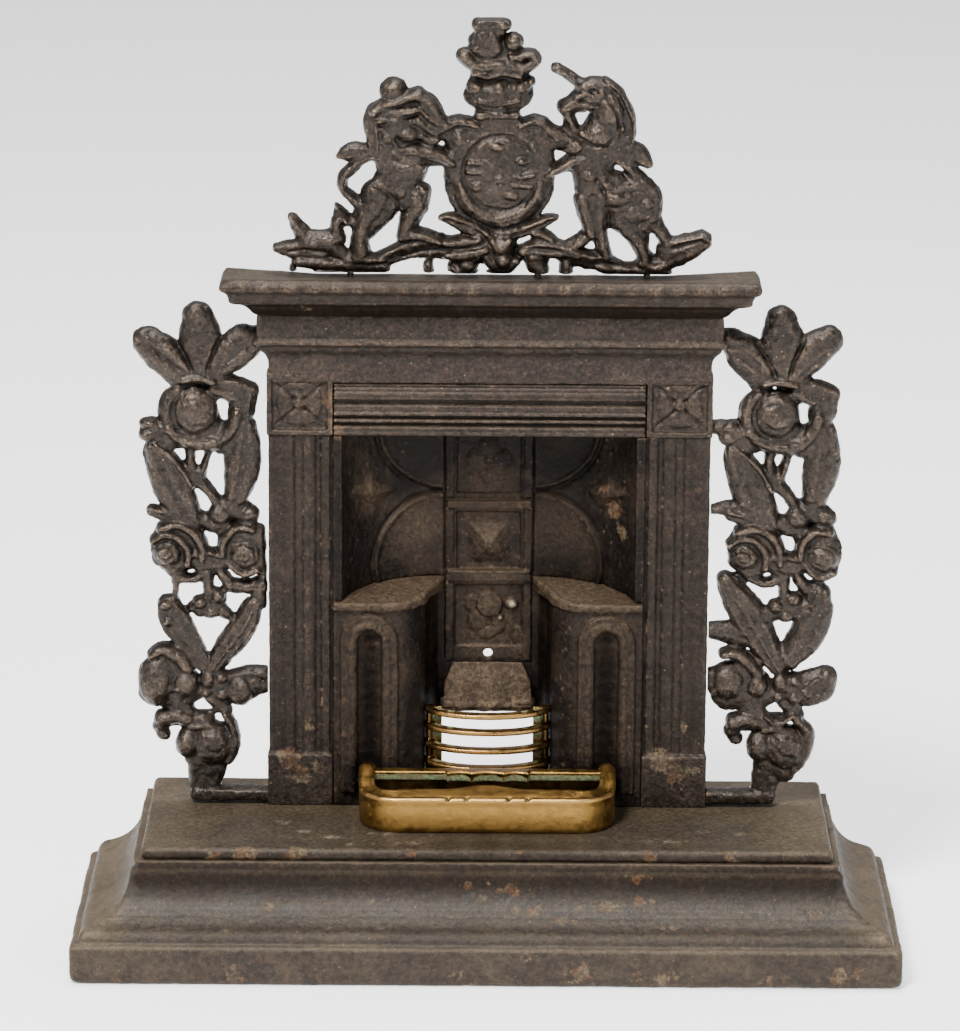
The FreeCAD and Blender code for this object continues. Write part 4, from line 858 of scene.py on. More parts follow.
def build_hob(side):
    """Hollow hob with its arched moulding, and its overhanging top plate with a rolled lip."""
    hand = "right" if side > 0 else "left"
    pile = Pile().add_node(f"{hand}_hob")
    middle, spring, front = side * 38.7, 95.2, 18.1
    for radius, half_width, rise in ((8.5, 0.95, 1.2), (5.75, 1.65, 1.75)):
        arch = [(middle - radius, front, z) for z in np.linspace(44, spring, 26)]
        arch += [(middle - radius * math.cos(turn), front, spring + radius * math.sin(turn))
                 for turn in np.linspace(0.08, math.pi - 0.08, 24)]
        arch += [(middle + radius, front, z) for z in np.linspace(spring, 44, 26)]
        pile.tube(arch, [half_width] * len(arch), [rise] * len(arch), np.cross(along(arch), (0, 1, 0)), (0, 1, 0))
    pile.bar((side * 21.2, 33.6, 39.2), 1.3, (side * 21.2, 33.6, 73), 1.3)
    pile.box(*span(side, 49.6, 51.7, 20.2, 22.4, 39.1, 112)).box(*span(side, 13.6, 18, 42.8, 45.4, 64.2, 108))
    piece = melt(f"{hand}_hob_casting", pile, 0.45, 3)
    carve(piece, [([(middle, 40), (middle, spring + 1.5)], 2.3, -1.3)])
    weather(piece, 51 + side, 0.14, 0.08, 0.16, 0.08)
    paint(piece, "dust", [(middle, 17, 98, 12, 0.5)]
          + [(middle + 6 * edge, 17, z, 6, 0.35) for edge in (-1, 1) for z in range(60, 95, 6)])
    # painted shade in the arch's slot and on the hob's round bar behind the grate post
    paint(piece, "soot", [(middle, 19, z, 4.4, 0.9) for z in range(44, 97, 4)]
          + [(side * 20.4, y, z, 6, 1.0) for y in (34, 40) for z in range(40, 106, 5)])
    paint(piece, "rust", [(side * 50, 18, 60, 5, 0.3)])
    settle(piece, INSERT_IRON_IN_SHADE, [f"{hand}_hob"])
    plate = Pile().add_node(f"{hand}_hob_plate")
    rim = [(side * x, y, 107.2 + 3 * max(0, y - 18) / 28) for x, y in
           [(50, 17.9), (44, 17.9), (38, 17.9), (33, 17.9), (29.4, 18.3), (26.6, 19.8), (24.4, 22), (22.6, 25),
            (21.2, 28.5), (20, 31.5),
            (17.6, 37), (15.6, 42)]]
    plate.tube(rim, [1.2] * len(rim), [1.6] * len(rim), np.cross(along(rim), (0, 0, 1)), (0, 0, 1), corners=16)
    top = melt(f"{hand}_hob_plate_casting", plate, 0.42, 3)
    weather(top, 55 + side, 0.12, 0.08, 0.14, 0.06)
    paint(top, "dust", [(side * x, y, 110, 12, 0.9) for x in (20, 32, 44) for y in (22, 34)])
    paint(top, "rust", [(side * 40, 30, 110, 6, 0.25)])
    settle(top, INSERT_IRON_IN_SHADE, [f"{hand}_hob_plate"])


def coving_depth(x):
    """Y of the coving's hollow face at a distance x from the centre line."""
    start, end, sag = np.array([47.8, 19.6]), np.array([14.6, 42.9]), 8.0
    chord = np.linalg.norm(end - start)
    radius = (chord ** 2 / 4 + sag ** 2) / (2 * sag)
    way = (end - start) / chord
    centre = (start + end) / 2 - np.array([-way[1], way[0]]) * -1 * (radius - sag)
    return centre[1] + math.sqrt(max(radius ** 2 - (x - centre[0]) ** 2, 0))


COVING_ROUNDS = [(13.5, 163.5, 23.0), (14.3, 116.5, 23.3)]
STAR_MIDDLE = (38.1, 141.2)
STAR_TIPS = [(38.9, 151.2), (28.7, 141.3), (37.5, 131.7), (46.6, 144.0)]


def add_star(pile, side):
    """A pointed boss with four hollow-sided arms, lying on the curved cheek."""
    middle = np.array(STAR_MIDDLE)
    rim = []
    for tip, after in zip(STAR_TIPS, STAR_TIPS[1:] + STAR_TIPS[:1]):
        rim += [np.array(tip), middle + 0.8 * ((np.array(tip) + after) / 2 - middle)]
    points = [(side * x, coving_depth(min(x, 47.7)) + 0.4, z) for x, z in rim]
    depth = coving_depth(middle[0])
    points += [(side * middle[0], depth - 4.6, middle[1]), (side * middle[0], depth + 3.5, middle[1])]
    faces = [(k, (k + 1) % 8, 8) for k in range(8)] + [((k + 1) % 8, k, 9) for k in range(8)]
    pile.add(points, faces if side > 0 else [tuple(reversed(face)) for face in faces])


def build_coving(side):
    """Curved cheek with two round panels and a pointed four-cornered boss between them."""
    hand = "right" if side > 0 else "left"
    pile = Pile().add_node(f"{hand}_coving")
    add_star(pile, side)
    pile.box(*span(side, 48.6, 51.7, 20.4, 23, 108, 163.9)).box(*span(side, 13.2, 16.4, 43.6, 45.7, 110, 163.8))
    piece = melt(f"{hand}_coving_casting", pile, 0.42, 2)
    points, normals = points_of(piece), normals_of(piece)
    facing = np.clip((-normals[:, 1] - 0.05) / 0.4, 0, 1) * (np.abs(points[:, 0]) > 15) * (np.abs(points[:, 0]) < 47)
    for x, z, radius in COVING_ROUNDS:
        away = np.hypot(np.abs(points[:, 0]) - x, points[:, 2] - z) - radius
        rise = 0.55 / (1 + np.exp(np.clip(away / 0.25, -30, 30))) + 0.45 * np.exp(-((away + 1.1) / 0.7) ** 2)
        points[:, 1] -= facing * (rise - 0.8 * np.exp(-((away - 0.7) / 0.7) ** 2))
    set_points(piece, points)
    weather(piece, 61 + side, 0.14, 0.08, 0.16, 0.08)
    rusty = 0.62 if side > 0 else 0.2
    paint(piece, "rust", [(side * 38.6, 34, 143, 4.5, rusty * 0.8), (side * 41, 32, 137, 5, rusty),
                          (side * 43.5, 29, 130, 5, rusty * 0.8),
                          (side * 44, 28, 123, 4, rusty * 0.5)])
    paint(piece, "dust", [(side * 38.1, 33, 141, 8, 0.45), (side * 24, 42, 128, 10, 0.3)])
    if side > 0:
        paint(piece, "soot", [(x, 38, z, 16, 0.42) for x in (22, 36) for z in (116, 128, 154)])
    settle(piece, INSERT_IRON_IN_SHADE, [f"{hand}_coving"])


def build_back():
    """Panelled column behind the fire, and the sloping fireback."""
    pile = Pile().add_node("centre_back")
    front = back_of("centre_back") - 2.9
    pile.box((-14.5, 42.4, 69.5), (14.5, 45.3, 81))
    for low, high in ((82, 108.6), (112.4, 133.8), (138, 163.2)):
        for x in (-12.9, 12.9):
            pile.box((x - 1.2, front - 0.7, low), (x + 1.2, front + 1, high))
    for low, high in ((134.7, 137), (109.9, 111.6), (112.3, 113.2)):
        pile.box((-13.6, front - 1.9, low), (13.6, front + 1, high))
    for angle in range(0, 360, 90):
        way = math.radians(angle)
        pile.ball((4.2 * math.cos(way), front + 1.1, 150.5 + 4.6 * math.sin(way)), (3.6, 1.2, 3.8))
    pile.ball((0, front + 0.6, 150.5), (1.8, 1.3, 1.8))
    for x, z, wide, tall, rise in ((-3.4, 95.6, 3.4, 4.6, 1.3), (3.2, 94.8, 2.8, 4.0, 1.1),
                                   (-5.6, 101.5, 2.6, 3.0, 0.9), (-0.4, 91.4, 3.2, 2.4, 1.0),
                                  (9.6, 90.6, 1.8, 3.4, 1.2), (10.4, 85.6, 1.6, 2.2, 1.4)):
        pile.ball((x, front + 0.9, z), (wide, rise, tall))
    disc = [(0.4, y, 101.4) for y in np.linspace(front - 0.8, front + 1, 8)]
    pile.tube(disc, [4.3] * 8, [4.3] * 8, (1, 0, 0), (0, 0, 1))
    pile.ball((7.6, front + 0.2, 101.4), (2.3, 1.3, 2.0)).ball((3.9, front - 0.1, 96.8), (1.1, 0.9, 1.0))
    piece = melt("centre_back_casting", pile, 0.36, 3)
    weather(piece, 71, 0.12, 0.09, 0.2, 0.1)
    paint(piece, "dust", [(0, 41, 100, 9, 0.5), (0, 40.5, 136, 12, 0.3), (0, 40.5, 111, 12, 0.4),
                          (0, 41, 92, 10, 0.5), (0, 41, 123, 8, 0.35), (9, 41, 88, 7, 0.4)])
    paint(piece, "pale", [(8.0, 41.2, 101.8, 1.5, 0.9), (3.9, 41.4, 96.8, 0.8, 0.9), (6.4, 41.4, 102.8, 0.9, 0.7)])
    paint(piece, "rust", [(5, 42, 112, 5, 0.25), (2, 42, 119, 5, 0.25), (0, 42, 82, 4, 0.3)])
    settle(piece, INSERT_IRON_IN_SHADE, ["centre_back"])
    fire = Pile().add_node("fireback")
    fire.box((-14.9, 36.6, 66.0), (14.9, 38, 68.2)).box((-15.7, 37.2, 66.2), (15.7, 38.4, 70.4))
    for x, z, size in ((-12, 67.5, 1.6), (-8.6, 66.8, 1.8), (-5, 67.4, 1.5), (-1, 66.6, 2.0), (3.4, 67.3, 1.6),
                       (7, 67.1, 1.5),
                       (10.4, 67.9, 1.6), (13, 68.2, 1.3)):
        fire.ball((x, 37.1, z + 0.9), (size * 1.4, 1.1, size * 0.9))
    plate = melt("fireback_casting", fire, 0.38, 3)
    weather(plate, 75, 0.14, 0.10, 0.2)
    paint(plate, "dust", [(x, 38, z, 8, 1.0) for x in (-10, 0, 10) for z in (70, 78)])
    paint(plate, "rust", [(0, 37, 68, 6, 0.35), (8, 37, 68, 5, 0.4), (-9, 37, 69, 4, 0.3)])
    settle(plate, INSERT_IRON_IN_SHADE, ["fireback"])


# ---------------------------------------------------------------- brass

def bow_line(half, front, back, count=61):
    """Plan of the bowed bars: half an oval from one end to the other."""
    places = []
    for turn in np.linspace(math.pi, 0, count):
        places.append((half * math.cos(turn), back - (back - front) * math.sin(turn) ** 0.96))
    return places


BAR_HEIGHTS = (51.1, 57.2, 63.5, 69.1)


def build_grate():
    half, back = GRATE_HIGH[0] - 0.9, 32.3
    depth = 2.1
    pile = Pile()
    for z in BAR_HEIGHTS:
        line = [(x, y, z) for x, y in bow_line(half, GRATE_LOW[1] + depth, back)]
        pile.tube(line, [depth] * len(line), [0.95] * len(line), np.cross(along(line), (0, 0, 1)), (0, 0, 1),
                  corners=28, square=0.55)
    for side in (-1, 1):
        pile.box(*span(side, 15, 20.1, 31, 32.4, GRATE_LOW[2], 69.4))
        pile.bar((side * 19.2, 30.9, GRATE_LOW[2] + 1), 1, (side * 19.2, 30.9, 69), 1)
    piece = melt("grate_front_brass", pile, 0.27, 3)
    weather(piece, 81, 0.05, 0.02, 0.04)
    spots = [(side * 16.2, 30.8, z, 2.7, strength) for side in (-1, 1)
             for z, strength in ((54.2, 0.6), (60.4, 0.65), (66.4, 1.0))]
    spots += [(x, 24.4, z + 1.1, 1.9, 0.62) for x in (-12, -8, -4, 0, 4, 8, 12) for z in BAR_HEIGHTS]
    spots += [(side * 15.4, 27.6, z + 0.8, 2.8, 0.62) for side in (-1, 1) for z in BAR_HEIGHTS]
    paint(piece, "verdigris", spots)
    # painted shade on the outer sides of the grate's posts, beside the hobs
    paint(piece, "tarnish_and_shade", [(side * 20.6, 31, z, 4.4, 1.0) for side in (-1, 1) for z in (48, 52, 56, 60, 64, 67)])
    settle(piece, GRATE_BRASS, ["grate_front"])


RIM_TOP, SHELF_TOP, PLATE_TOP, LOBE_TOP = 50.6, 52.0, 53.4, 56.2


def fender_path():
    """The outer wall in plan from the left end round the front to the right end, with inward directions."""
    side, front, back, turn = FENDER_HIGH[0] - 0.2, FENDER_LOW[1] + 0.2, FENDER_HIGH[1] - 1.2, 13
    line = [(-side, y) for y in np.linspace(back, front + turn, 30)]
    line += [(-side + turn * (1 - math.cos(angle)), front + turn * (1 - math.sin(angle)))
             for angle in np.linspace(0, math.pi / 2, 20)[1:]]
    line += [(x, front) for x in np.linspace(-side + turn, 0, 56)[1:]]
    line += [(-x, y) for x, y in line[-2::-1]]
    line = np.array(line)
    ways = along(line)
    return line, np.column_stack([-ways[:, 1], ways[:, 0]])


def loft(pile, rings):
    """A closed skin over rings of equal length, capped at both ends."""
    return pile.add(np.array(rings).reshape(-1, 3), ring_faces(len(rings), len(rings[0])))


def build_fender():
    """Bent brass fender: upright wall, rolled lip, shelf rising inwards, raised round ends, strip across its back."""
    base = FENDER_LOW[2]
    pile = Pile()
    line, inward = fender_path()
    back_end = line[0][1]
    rings = []
    for (x, y), normal in zip(line, inward):
        climb = np.clip((y + 3) / (back_end + 1), 0, 1)
        dome = climb ** 2 * (3 - 2 * climb)
        rise = dome * (LOBE_TOP - 1.6 - RIM_TOP)
        drop = max(0, y - back_end + 3.6) / 3.6
        rise -= 3.4 * (1 - math.sqrt(max(0, 1 - drop ** 2)))
        width = 7.6 - 2.2 * np.clip((abs(x) - 26) / 12, 0, 1)
        if abs(x) < 12:
            width += 2.4 * math.cos(math.pi * x / 24) ** 1.4
        hump = 0.5 * math.cos(math.pi * x / 24) ** 2 if abs(x) < 12 else 0
        lip, shelf = RIM_TOP + rise, SHELF_TOP + rise + hump
        section = [(0.5, base), (0.15, base + 1.2), (0.1, lip - 2.6), (-0.05, lip - 1.2), (-0.15, lip - 0.6),
                   (0.15, lip),
                   (0.8, lip + 0.25), (1.4, lip), (1.9, lip - 0.15), (3.4, lip + 0.35), (width - 1.2, shelf - 0.15),
                   (width - 0.3, shelf), (width, shelf - 0.6), (width - 0.5, shelf - 1.6), (2.2, lip - 1.9),
                   (1.7, lip - 3), (1.7, base)]
        rounded = [(out, z + dome * (lip + 1.7 * (1 - (2 * out / width - 1) ** 2) - z)) if z > lip - 1
                   and out < width - 0.1 else (out, z)
                   for out, z in section]
        rings.append([(x + normal[0] * out, y + normal[1] * out, z) for out, z in rounded])
    loft(pile, rings)
    back = FENDER_HIGH[1] - 1.0
    rings = []
    for x in np.arange(-39, 39.01, 0.4):
        front = 11.0
        for low, high in ((-13.4, -5.0), (-5.0, 5.4), (5.4, 13.4)):
            if low < x < high:
                front = 9.0 + 1.3 * math.sin(math.pi * (x - low) / (high - low)) ** 0.8
        lift = 0.35 if abs(x) < 13.6 else 0
        section = [(front + 0.7, PLATE_TOP - 3.2), (front + 0.3, PLATE_TOP - 3), (front + 0.2, PLATE_TOP - 0.9),
                   (front, PLATE_TOP - 0.4 + lift),
                   (front + 0.5, PLATE_TOP + lift), (front + 1.2, PLATE_TOP - 0.1 + lift),
                   (back - 0.8, PLATE_TOP - 0.1), (back, PLATE_TOP - 0.7), (back, PLATE_TOP - 3.2)]
        rings.append([(x, y, z) for y, z in section])
    loft(pile, rings)
    pile.box((-39, back - 1.4, base), (39, back, PLATE_TOP - 1))
    piece = melt("fender_brass_casting", pile, 0.34, 2)
    front = FENDER_LOW[1]
    carve(piece, [([(x, front), (x + 0.6, front + 2.2)], 0.6, -0.8) for x in (-12.8, -6.8, 6.8, 13)], (0, 0, 1), (0, 1))
    weather(piece, 91, 0.05, 0.02, 0.05, 0.03)
    paint(piece, "verdigris", [(x, 10.7, z, 1.5, 0.95) for x in np.arange(-37, 38, 1.1)
                               for z in (PLATE_TOP - 2.1, PLATE_TOP - 3.0)]
          + [(x + 0.3, front + 1.2, RIM_TOP, 0.9, 0.75) for x in (-12.8, -6.8, 6.8, 13)])
    # tarnish on the ends; painted shade inside the fender's well and behind its front wall; a darker shoulder behind
    # the rim
    paint(piece, "tarnish_and_shade", [(side * 41, y, z, 6, 0.25) for side in (-1, 1) for y in (4, 12) for z in (41, 46)]
          + [(x, y, z, 5.5, 1.0) for x in range(-36, 37, 4)
             for y, z in ((-3, 44), (-3, 48.6), (4, 41), (11, 42), (14, 43))]
          + [(x, 15.5, PLATE_TOP, 4, 0.05) for x in range(-36, 37, 5)]
          + [(x, -4.4, SHELF_TOP, 4.4, 0.5) for x in range(-34, 35, 4)])
    # painted highlight along the front rim and along the scalloped edge of the strip across the back
    rim = [(x + normal[0] * 0.5, y + normal[1] * 0.5, RIM_TOP + 0.1, 1.0, 0.9)
           for (x, y), normal in zip(line, inward) if y < 0]
    paint(piece, "rubbed_and_highlit", rim + [(x, 10.2 if abs(x) > 13 else 8.8, PLATE_TOP + 0.1, 0.9, 0.7)
                                  for x in np.arange(-15, 15.5, 0.8)])
    settle(piece, FENDER_BRASS, ["fender"], "fender")


# ---------------------------------------------------------------- castings in relief: crest and garlands

def flow(stations, step=0.9):
    """Stations (x, z, half width[, height share]) joined by a smooth curve, closely spaced."""
    rows = np.array([(*station, 1.0) if len(station) == 3 else station for station in stations], float)
    if len(rows) == 1:
        rows = np.vstack([rows, rows + (0.02, 0.02, 0, 0)])
    padded = np.vstack([2 * rows[0] - rows[1], rows, 2 * rows[-1] - rows[-2]])
    result = []
    for before, start, end, after in zip(padded[:-3], padded[1:-2], padded[2:-1], padded[3:]):
        count = max(2, int(np.linalg.norm((end - start)[:2]) / step))
        for t in np.arange(count) / count:
            bend = (2 * start + (end - before) * t + (2 * before - 5 * start + 4 * end - after) * t ** 2
                    + (3 * start - before - 3 * end + after) * t ** 3) / 2
            result.append(bend)
    result.append(rows[-1])
    return np.array(result)


ACROSS = np.sin(np.linspace(-math.pi / 2, math.pi / 2, 23))
SWELL = np.sqrt(np.clip(1 - ACROSS ** 2, 0, 1))
SECTIONS = {
    "dome": SWELL,
    "plate": (1 - np.abs(ACROSS) ** 5) ** 0.5,
    "leaf": SWELL ** 0.8 * (1 - 0.20 * np.exp(-(ACROSS / 0.22) ** 2)),
    "hollow": SWELL ** 0.45 * (0.50 + 0.5 * ACROSS ** 2 + 0.16 * np.exp(-(ACROSS / 0.13) ** 2)),
    "ridge": SWELL ** 0.8 * (0.66 + 0.34 * np.exp(-(ACROSS / 0.3) ** 2)),
    "striped": SWELL ** 0.7 * (0.9 + 0.1 * np.cos(3.2 * math.pi * ACROSS)),
    "fold": SWELL ** 0.6 * (0.74 + 0.26 * np.exp(-((ACROSS - 0.55) / 0.25) ** 2)
                            - 0.12 * np.exp(-((ACROSS + 0.1) / 0.25) ** 2)),
}


def add_blade(pile, section, rise, stations, back):
    """A leaf, limb or petal lying on the back plane, with a shaped section and rounded ends."""
    rows = flow(stations)
    way = np.gradient(rows[:, :2], axis=0)
    way /= np.maximum(np.linalg.norm(way, axis=1), 1e-9)[:, None]
    shape, foot = SECTIONS[section], min(0.34 * rise, 2.4)
    rings = []

    def ring(place, heading, half, height):
        across = np.array([-heading[1], heading[0]])
        flat = place + np.outer(ACROSS * max(half, 0.05), across)
        tall = foot * min(1, height + 0.25) + (rise - foot) * height * shape
        front = np.column_stack([flat[:, 0], back - tall, flat[:, 1]])
        rings.append(np.vstack([front, [front[-1][0], back, front[-1][2]], [front[0][0], back, front[0][2]]]))

    for turn in np.radians((84, 62, 42, 21)):
        ring(rows[0, :2] - way[0] * rows[0, 2] * math.sin(turn), way[0], rows[0, 2] * math.cos(turn),
             rows[0, 3] * math.cos(turn) ** 0.7)
    for row, heading in zip(rows, way):
        ring(row[:2], heading, row[2], row[3])
    for turn in np.radians((21, 42, 62, 84)):
        ring(rows[-1, :2] + way[-1] * rows[-1, 2] * math.sin(turn), way[-1], rows[-1, 2] * math.cos(turn),
             rows[-1, 3] * math.cos(turn) ** 0.7)
    pile.add(np.concatenate(rings), ring_faces(len(rings), len(rings[0])))


def add_shapes(pile, shapes, back, shift=0.0):
    """Each shape is (section, rise, stations...); a ball's one station is (x, z, radius X, radius Z)."""
    for section, rise, *stations in shapes:
        moved = [(station[0] + shift, *station[1:]) for station in stations]
        if section == "ball":
            x, z, wide, tall = moved[0]
            pile.ball((x, back - 0.38 * rise, z), (wide, 0.62 * rise, tall), back)
        else:
            add_blade(pile, section, rise, moved, back)


def read_rows(text):
    """Rows "words: numbers, numbers; words: ..." as (words, places); lines that start with # are notes."""
    lines = [line for line in text.strip().splitlines() if not line.strip().startswith("#")]
    pairs = [row.split(":") for row in "".join(lines).split(";") if row.strip()]
    return [(words.split(), [tuple(map(float, place.split())) for place in places.split(",")])
            for words, places in pairs]


def read_shapes(text):
    """Shapes "section rise: station, station"; a station is x z half_width, a ball's is x z radius_x radius_z."""
    return [(section, float(rise), *stations) for (section, rise), stations in read_rows(text)]


def read_strokes(text):
    """Strokes "width rise: point, point"; a point is x z."""
    return [(line, float(width), float(rise)) for (width, rise), line in read_rows(text)]


GARLAND = read_shapes("""
    # three top leaves, with the calyx under them
    leaf 6.5: -111 194.6 4.6, -106.4 191 6.1, -101 187 5.8, -96 183.8 4;
    dome 6.6: -94.5 203.2 4.5, -93.8 198.5 6.7, -93 192 6.6, -92.4 186 4.8;
    dome 7.6: -99 182.2 1.2, -94 183 1.6, -89 181.8 1.3; fold 6: -88 180.4 2.4, -82 179.8 3.2, -77.4 178.2 2.9;
    # fruit in its ring of petals
    ball 9.5: -95 172 7.4 8.2; dome 6.5: -100.5 179 1.6, -104 175 2.3, -104.4 170 2.5, -102.5 165.5 2.2;
    dome 7.4: -103.6 166 2, -99.5 163 2.3, -93 161.3 2.6, -87 162.4 2.6, -83 166.6 2.4, -81.6 171 2.2;
    dome 5: -97.5 163.5 5, -89 162.5 4.6; dome 6.2: -89 179 2, -86 177.8 2, -82.6 176.6 2.2;
    fold 6: -79 177 3.4, -79.6 171.6 3.3, -80 167 3; ball 6.5: -110 167.6 3.6 2.1; ball 6.6: -110.2 163.9 3.6 2.6;
    dome 6: -108 166 2.6, -103 165.4 2.6; dome 5: -107.4 161.6 2.2, -103 161.6 1.8;
    # long paired leaves and the forked stem between them
    leaf 6.8: -108.6 159.4 3, -106 153 5.2, -102.8 146 6.3, -99 139.4 5.4, -96.4 135.4 3.4;
    dome 7: -107.4 160.4 0.9, -102.8 156.6 1.1, -99 151.8 1.2, -96.4 147 1;
    leaf 6.8: -78.6 166 3.4, -79.2 160 5.2, -80 152 5.7, -81.8 144 4.2;
    dome 5: -96.8 158 1.6, -97.2 154 1.4, -96.6 150.6 1.8; dome 4.8: -91 157.6 1.3, -92 154 1.2, -93.4 150.4 1.5;
    dome 5.2: -98.6 151 1.6, -95 148.8 2.3, -91 145 1.7, -88 140.4 1.9; ball 7.2: -87.4 137.4 4.2 3.9;
    dome 5: -94.6 136 2.2, -90 133.8 3.2, -86.4 133.4 2.6; ball 6.5: -78 137.4 3.6 3.2;
    dome 5: -84 139 3, -78.6 136.6 2.6;
    # left rose
    fold 6.6: -109.4 138.2 1.7, -104 136.4 2.4, -98.6 133.4 2.4;
    dome 8.2: -106.6 132.6 1.5, -101 134 1.5, -96 131.6 1.7, -93.2 127 1.8, -93 122.6 1.6;
    dome 5.4: -103 128 6.8, -101.5 123 6.4;
    dome 7.6: -109.2 128.4 1.3, -105.4 130.6 1.4, -100.6 129.4 1.5, -97.6 125.4 1.6, -97.8 120.8 1.4;
    ball 8.8: -104.4 124.4 5.2 4.6; ball 9.4: -105.4 125.4 2.6 2.2; dome 5.5: -107.6 122 2, -103 118.8 1.8;
    # right rose
    dome 7.4: -86.4 124 1.6, -85.8 129 1.6, -82 132.8 1.6, -77 132.6 1.6; dome 5.2: -79.8 129.4 6, -79.4 122.4 6.4;
    ball 8.6: -79.2 124.2 5.6 5.4; dome 7.2: -84.6 121.4 1.4, -80 117.6 1.5, -75.4 119 1.5;
    dome 6: -95 124.2 2.6, -90.6 121 3.9, -86 121.6 2.6; dome 7: -95.4 124 1.1, -91 124.6 1.1, -87 123.4 1.1;
    # small hips and stalks under the roses
    dome 4.8: -104.2 119.2 1.8, -101.6 116.2 1.5, -96.8 115 1.5, -92.6 117 1.6;
    dome 4.8: -91.6 118.4 1.8, -91.2 112 1.6, -91.4 108 1.6; ball 6.8: -88.2 109.8 2.4 2.6;
    ball 7: -93.8 107.6 2.6 2.3; ball 6.6: -90.4 104.4 2.9 2.5; dome 5: -96.6 105.6 1.6, -90 106 2.8, -85.2 103.6 1.6;
    dome 5.2: -87.6 118.4 1.4, -85 114.6 1.8, -84.4 113 1.6;
    # lower flowers
    ball 7.2: -91.6 81.4 2.5 3.9; ball 6.8: -87.2 82 2.5 2.3; ball 7: -87 76.6 2.6 2.5; ball 6.4: -92.4 76.8 1.9 2;
    dome 5: -91 74.4 1.8, -87 71.6 2.2; dome 6.8: -106.6 67.6 2.6, -102.4 68.6 2.6, -98 67.6 2.4;
    ball 6.6: -93.6 67.6 3.1 2.5; dome 5: -100 72.6 3.2, -97 66 3; ball 5.6: -107.6 64.8 2.4 2;
    ball 5.2: -106 61.8 2.2 2; ball 8.4: -98.4 59.6 4.3 5.4; ball 9.2: -90 59.2 7 7.4;
    dome 7: -97 65.4 1.4, -91.6 65.6 1.5, -87 62.8 1.2;
    dome 6.4: -86 69.4 1.2, -83.6 65 1.5, -82.8 59.4 1.7, -85 53.6 1.8; dome 5.6: -96.6 54 3.2, -90 51.4 4.6;
""")
LEFT_ONLY = read_shapes("""
    leaf 6.4: -75.4 195.6 4.4, -79.4 193.6 5.9, -84.4 190 6.1, -90 185.6 4;
    hollow 6.6: -104.9 106.4 3.2, -102.8 101.6 4.9, -98.6 95.2 4.3, -94.6 88.6 3, -91.8 84.6 1.8;
    ball 6.8: -105 106.6 2.4 2.2; ball 6.4: -104.6 101 1.8 2.2;
    striped 6.4: -76.6 106.6 2.5, -78.6 101.4 4.1, -82.6 95.4 4.6, -87 89.6 3.8, -90 85 2.2;
    dome 4.4: -102.2 117 1.1, -101.8 112 1, -102.2 109 1.1; dome 5: -84.6 113.6 1.8, -79 112.6 2.2, -74 112.6 2.2;
    dome 4.8: -75.4 113 2.6, -74.8 107.6 1.8; dome 4.4: -73.8 120 1.4, -73.2 117.4 0.8, -73.2 113 0.9;
    dome 5: -75 131.6 2, -74.4 124 2, -75 119.4 1.8;
    dome 7.6: -110 89.6 1.5, -106.4 91.4 2.1, -101.4 89.4 2.6, -98.4 85.6 2.4; ball 9.3: -108.6 80.8 6 8.6;
    ball 8.6: -99 80 4.7 5; dome 5: -107.4 76 4.8, -98.4 76.4 4.2;
    dome 6.4: -106.4 88.6 1.1, -104 84 1.2, -103.4 78 1.2; ball 8: -81.2 77.6 4.7 5.6;
    fold 5.8: -84.6 80.6 2.8, -79 81.4 4, -73.2 81 4.6; dome 5.2: -96.2 51.6 2.2, -95.8 46 2.4, -94.6 43.2 2.6;
    fold 5.6: -89.6 51 3.2, -90.8 46.6 2.8, -92.6 44.4 2; plate 6.4: -95.6 42.1 2.2, -72 41.9 2.2;
""")
RIGHT_ONLY = read_shapes("""
    leaf 6.4: 76.2 196.2 3.2, 80.4 193.4 5.6, 85.4 189.2 6.1, 90.6 185.4 4.2; dome 5.2: 76 197 3, 73.4 197.4 2.2;
    leaf 6.5: 108.8 196.4 4.9, 104.6 193.4 5.9, 100.4 189 5.6, 96 185 3.8; dome 5: 78.6 167.2 2.4, 72.6 167.2 2.2;
    dome 4.6: 82 140 2.2, 77 140.6 1.7, 72 139.6 1.3;
    striped 6.8: 76.9 116.4 2.4, 80 111 4.6, 85 103.4 5.8, 90 94.6 4.9, 94.4 87 2.6;
    leaf 6.8: 108.6 111.4 3.3, 107.4 104.6 5.2, 103.6 96.2 5.5, 98.8 89.4 3.6; dome 4.6: 104 114 1.4, 108 114 2;
    dome 5: 73 98.8 2.6, 79 98 4, 84.6 96 3; dome 7.2: 77 91 1.5, 80.8 91.4 2, 85.4 88 2.4, 88.4 84.4 2;
    ball 8.6: 78.8 81.8 5.6 6.6; ball 8: 88 80.6 3.9 4.7; dome 5: 74 82 4.4, 86 76.6 4; ball 6.4: 74.6 79 2.2 2.2;
    dome 5: 100.6 81.4 3, 106 80.4 5; ball 7: 104.6 78.2 2.8 2.8;
    leaf 6.4: 104.6 76.4 3.4, 108.8 79.6 5, 111.2 83.6 3.2; dome 7: 91 70 1.2, 95 67.6 1.3, 100 70.4 1.2;
    dome 6.6: 101.4 68.4 1.4, 105.4 64.6 1.6, 104.8 58 1.8, 101 52 1.8;
    fold 5.6: 91.6 52.4 4.2, 91.2 46.6 3.8, 91.8 43.6 2.6; plate 6.4: 92.4 42.1 2.2, 72 41.9 2.2;
""")
RIGHT_SHIFT = 187.6

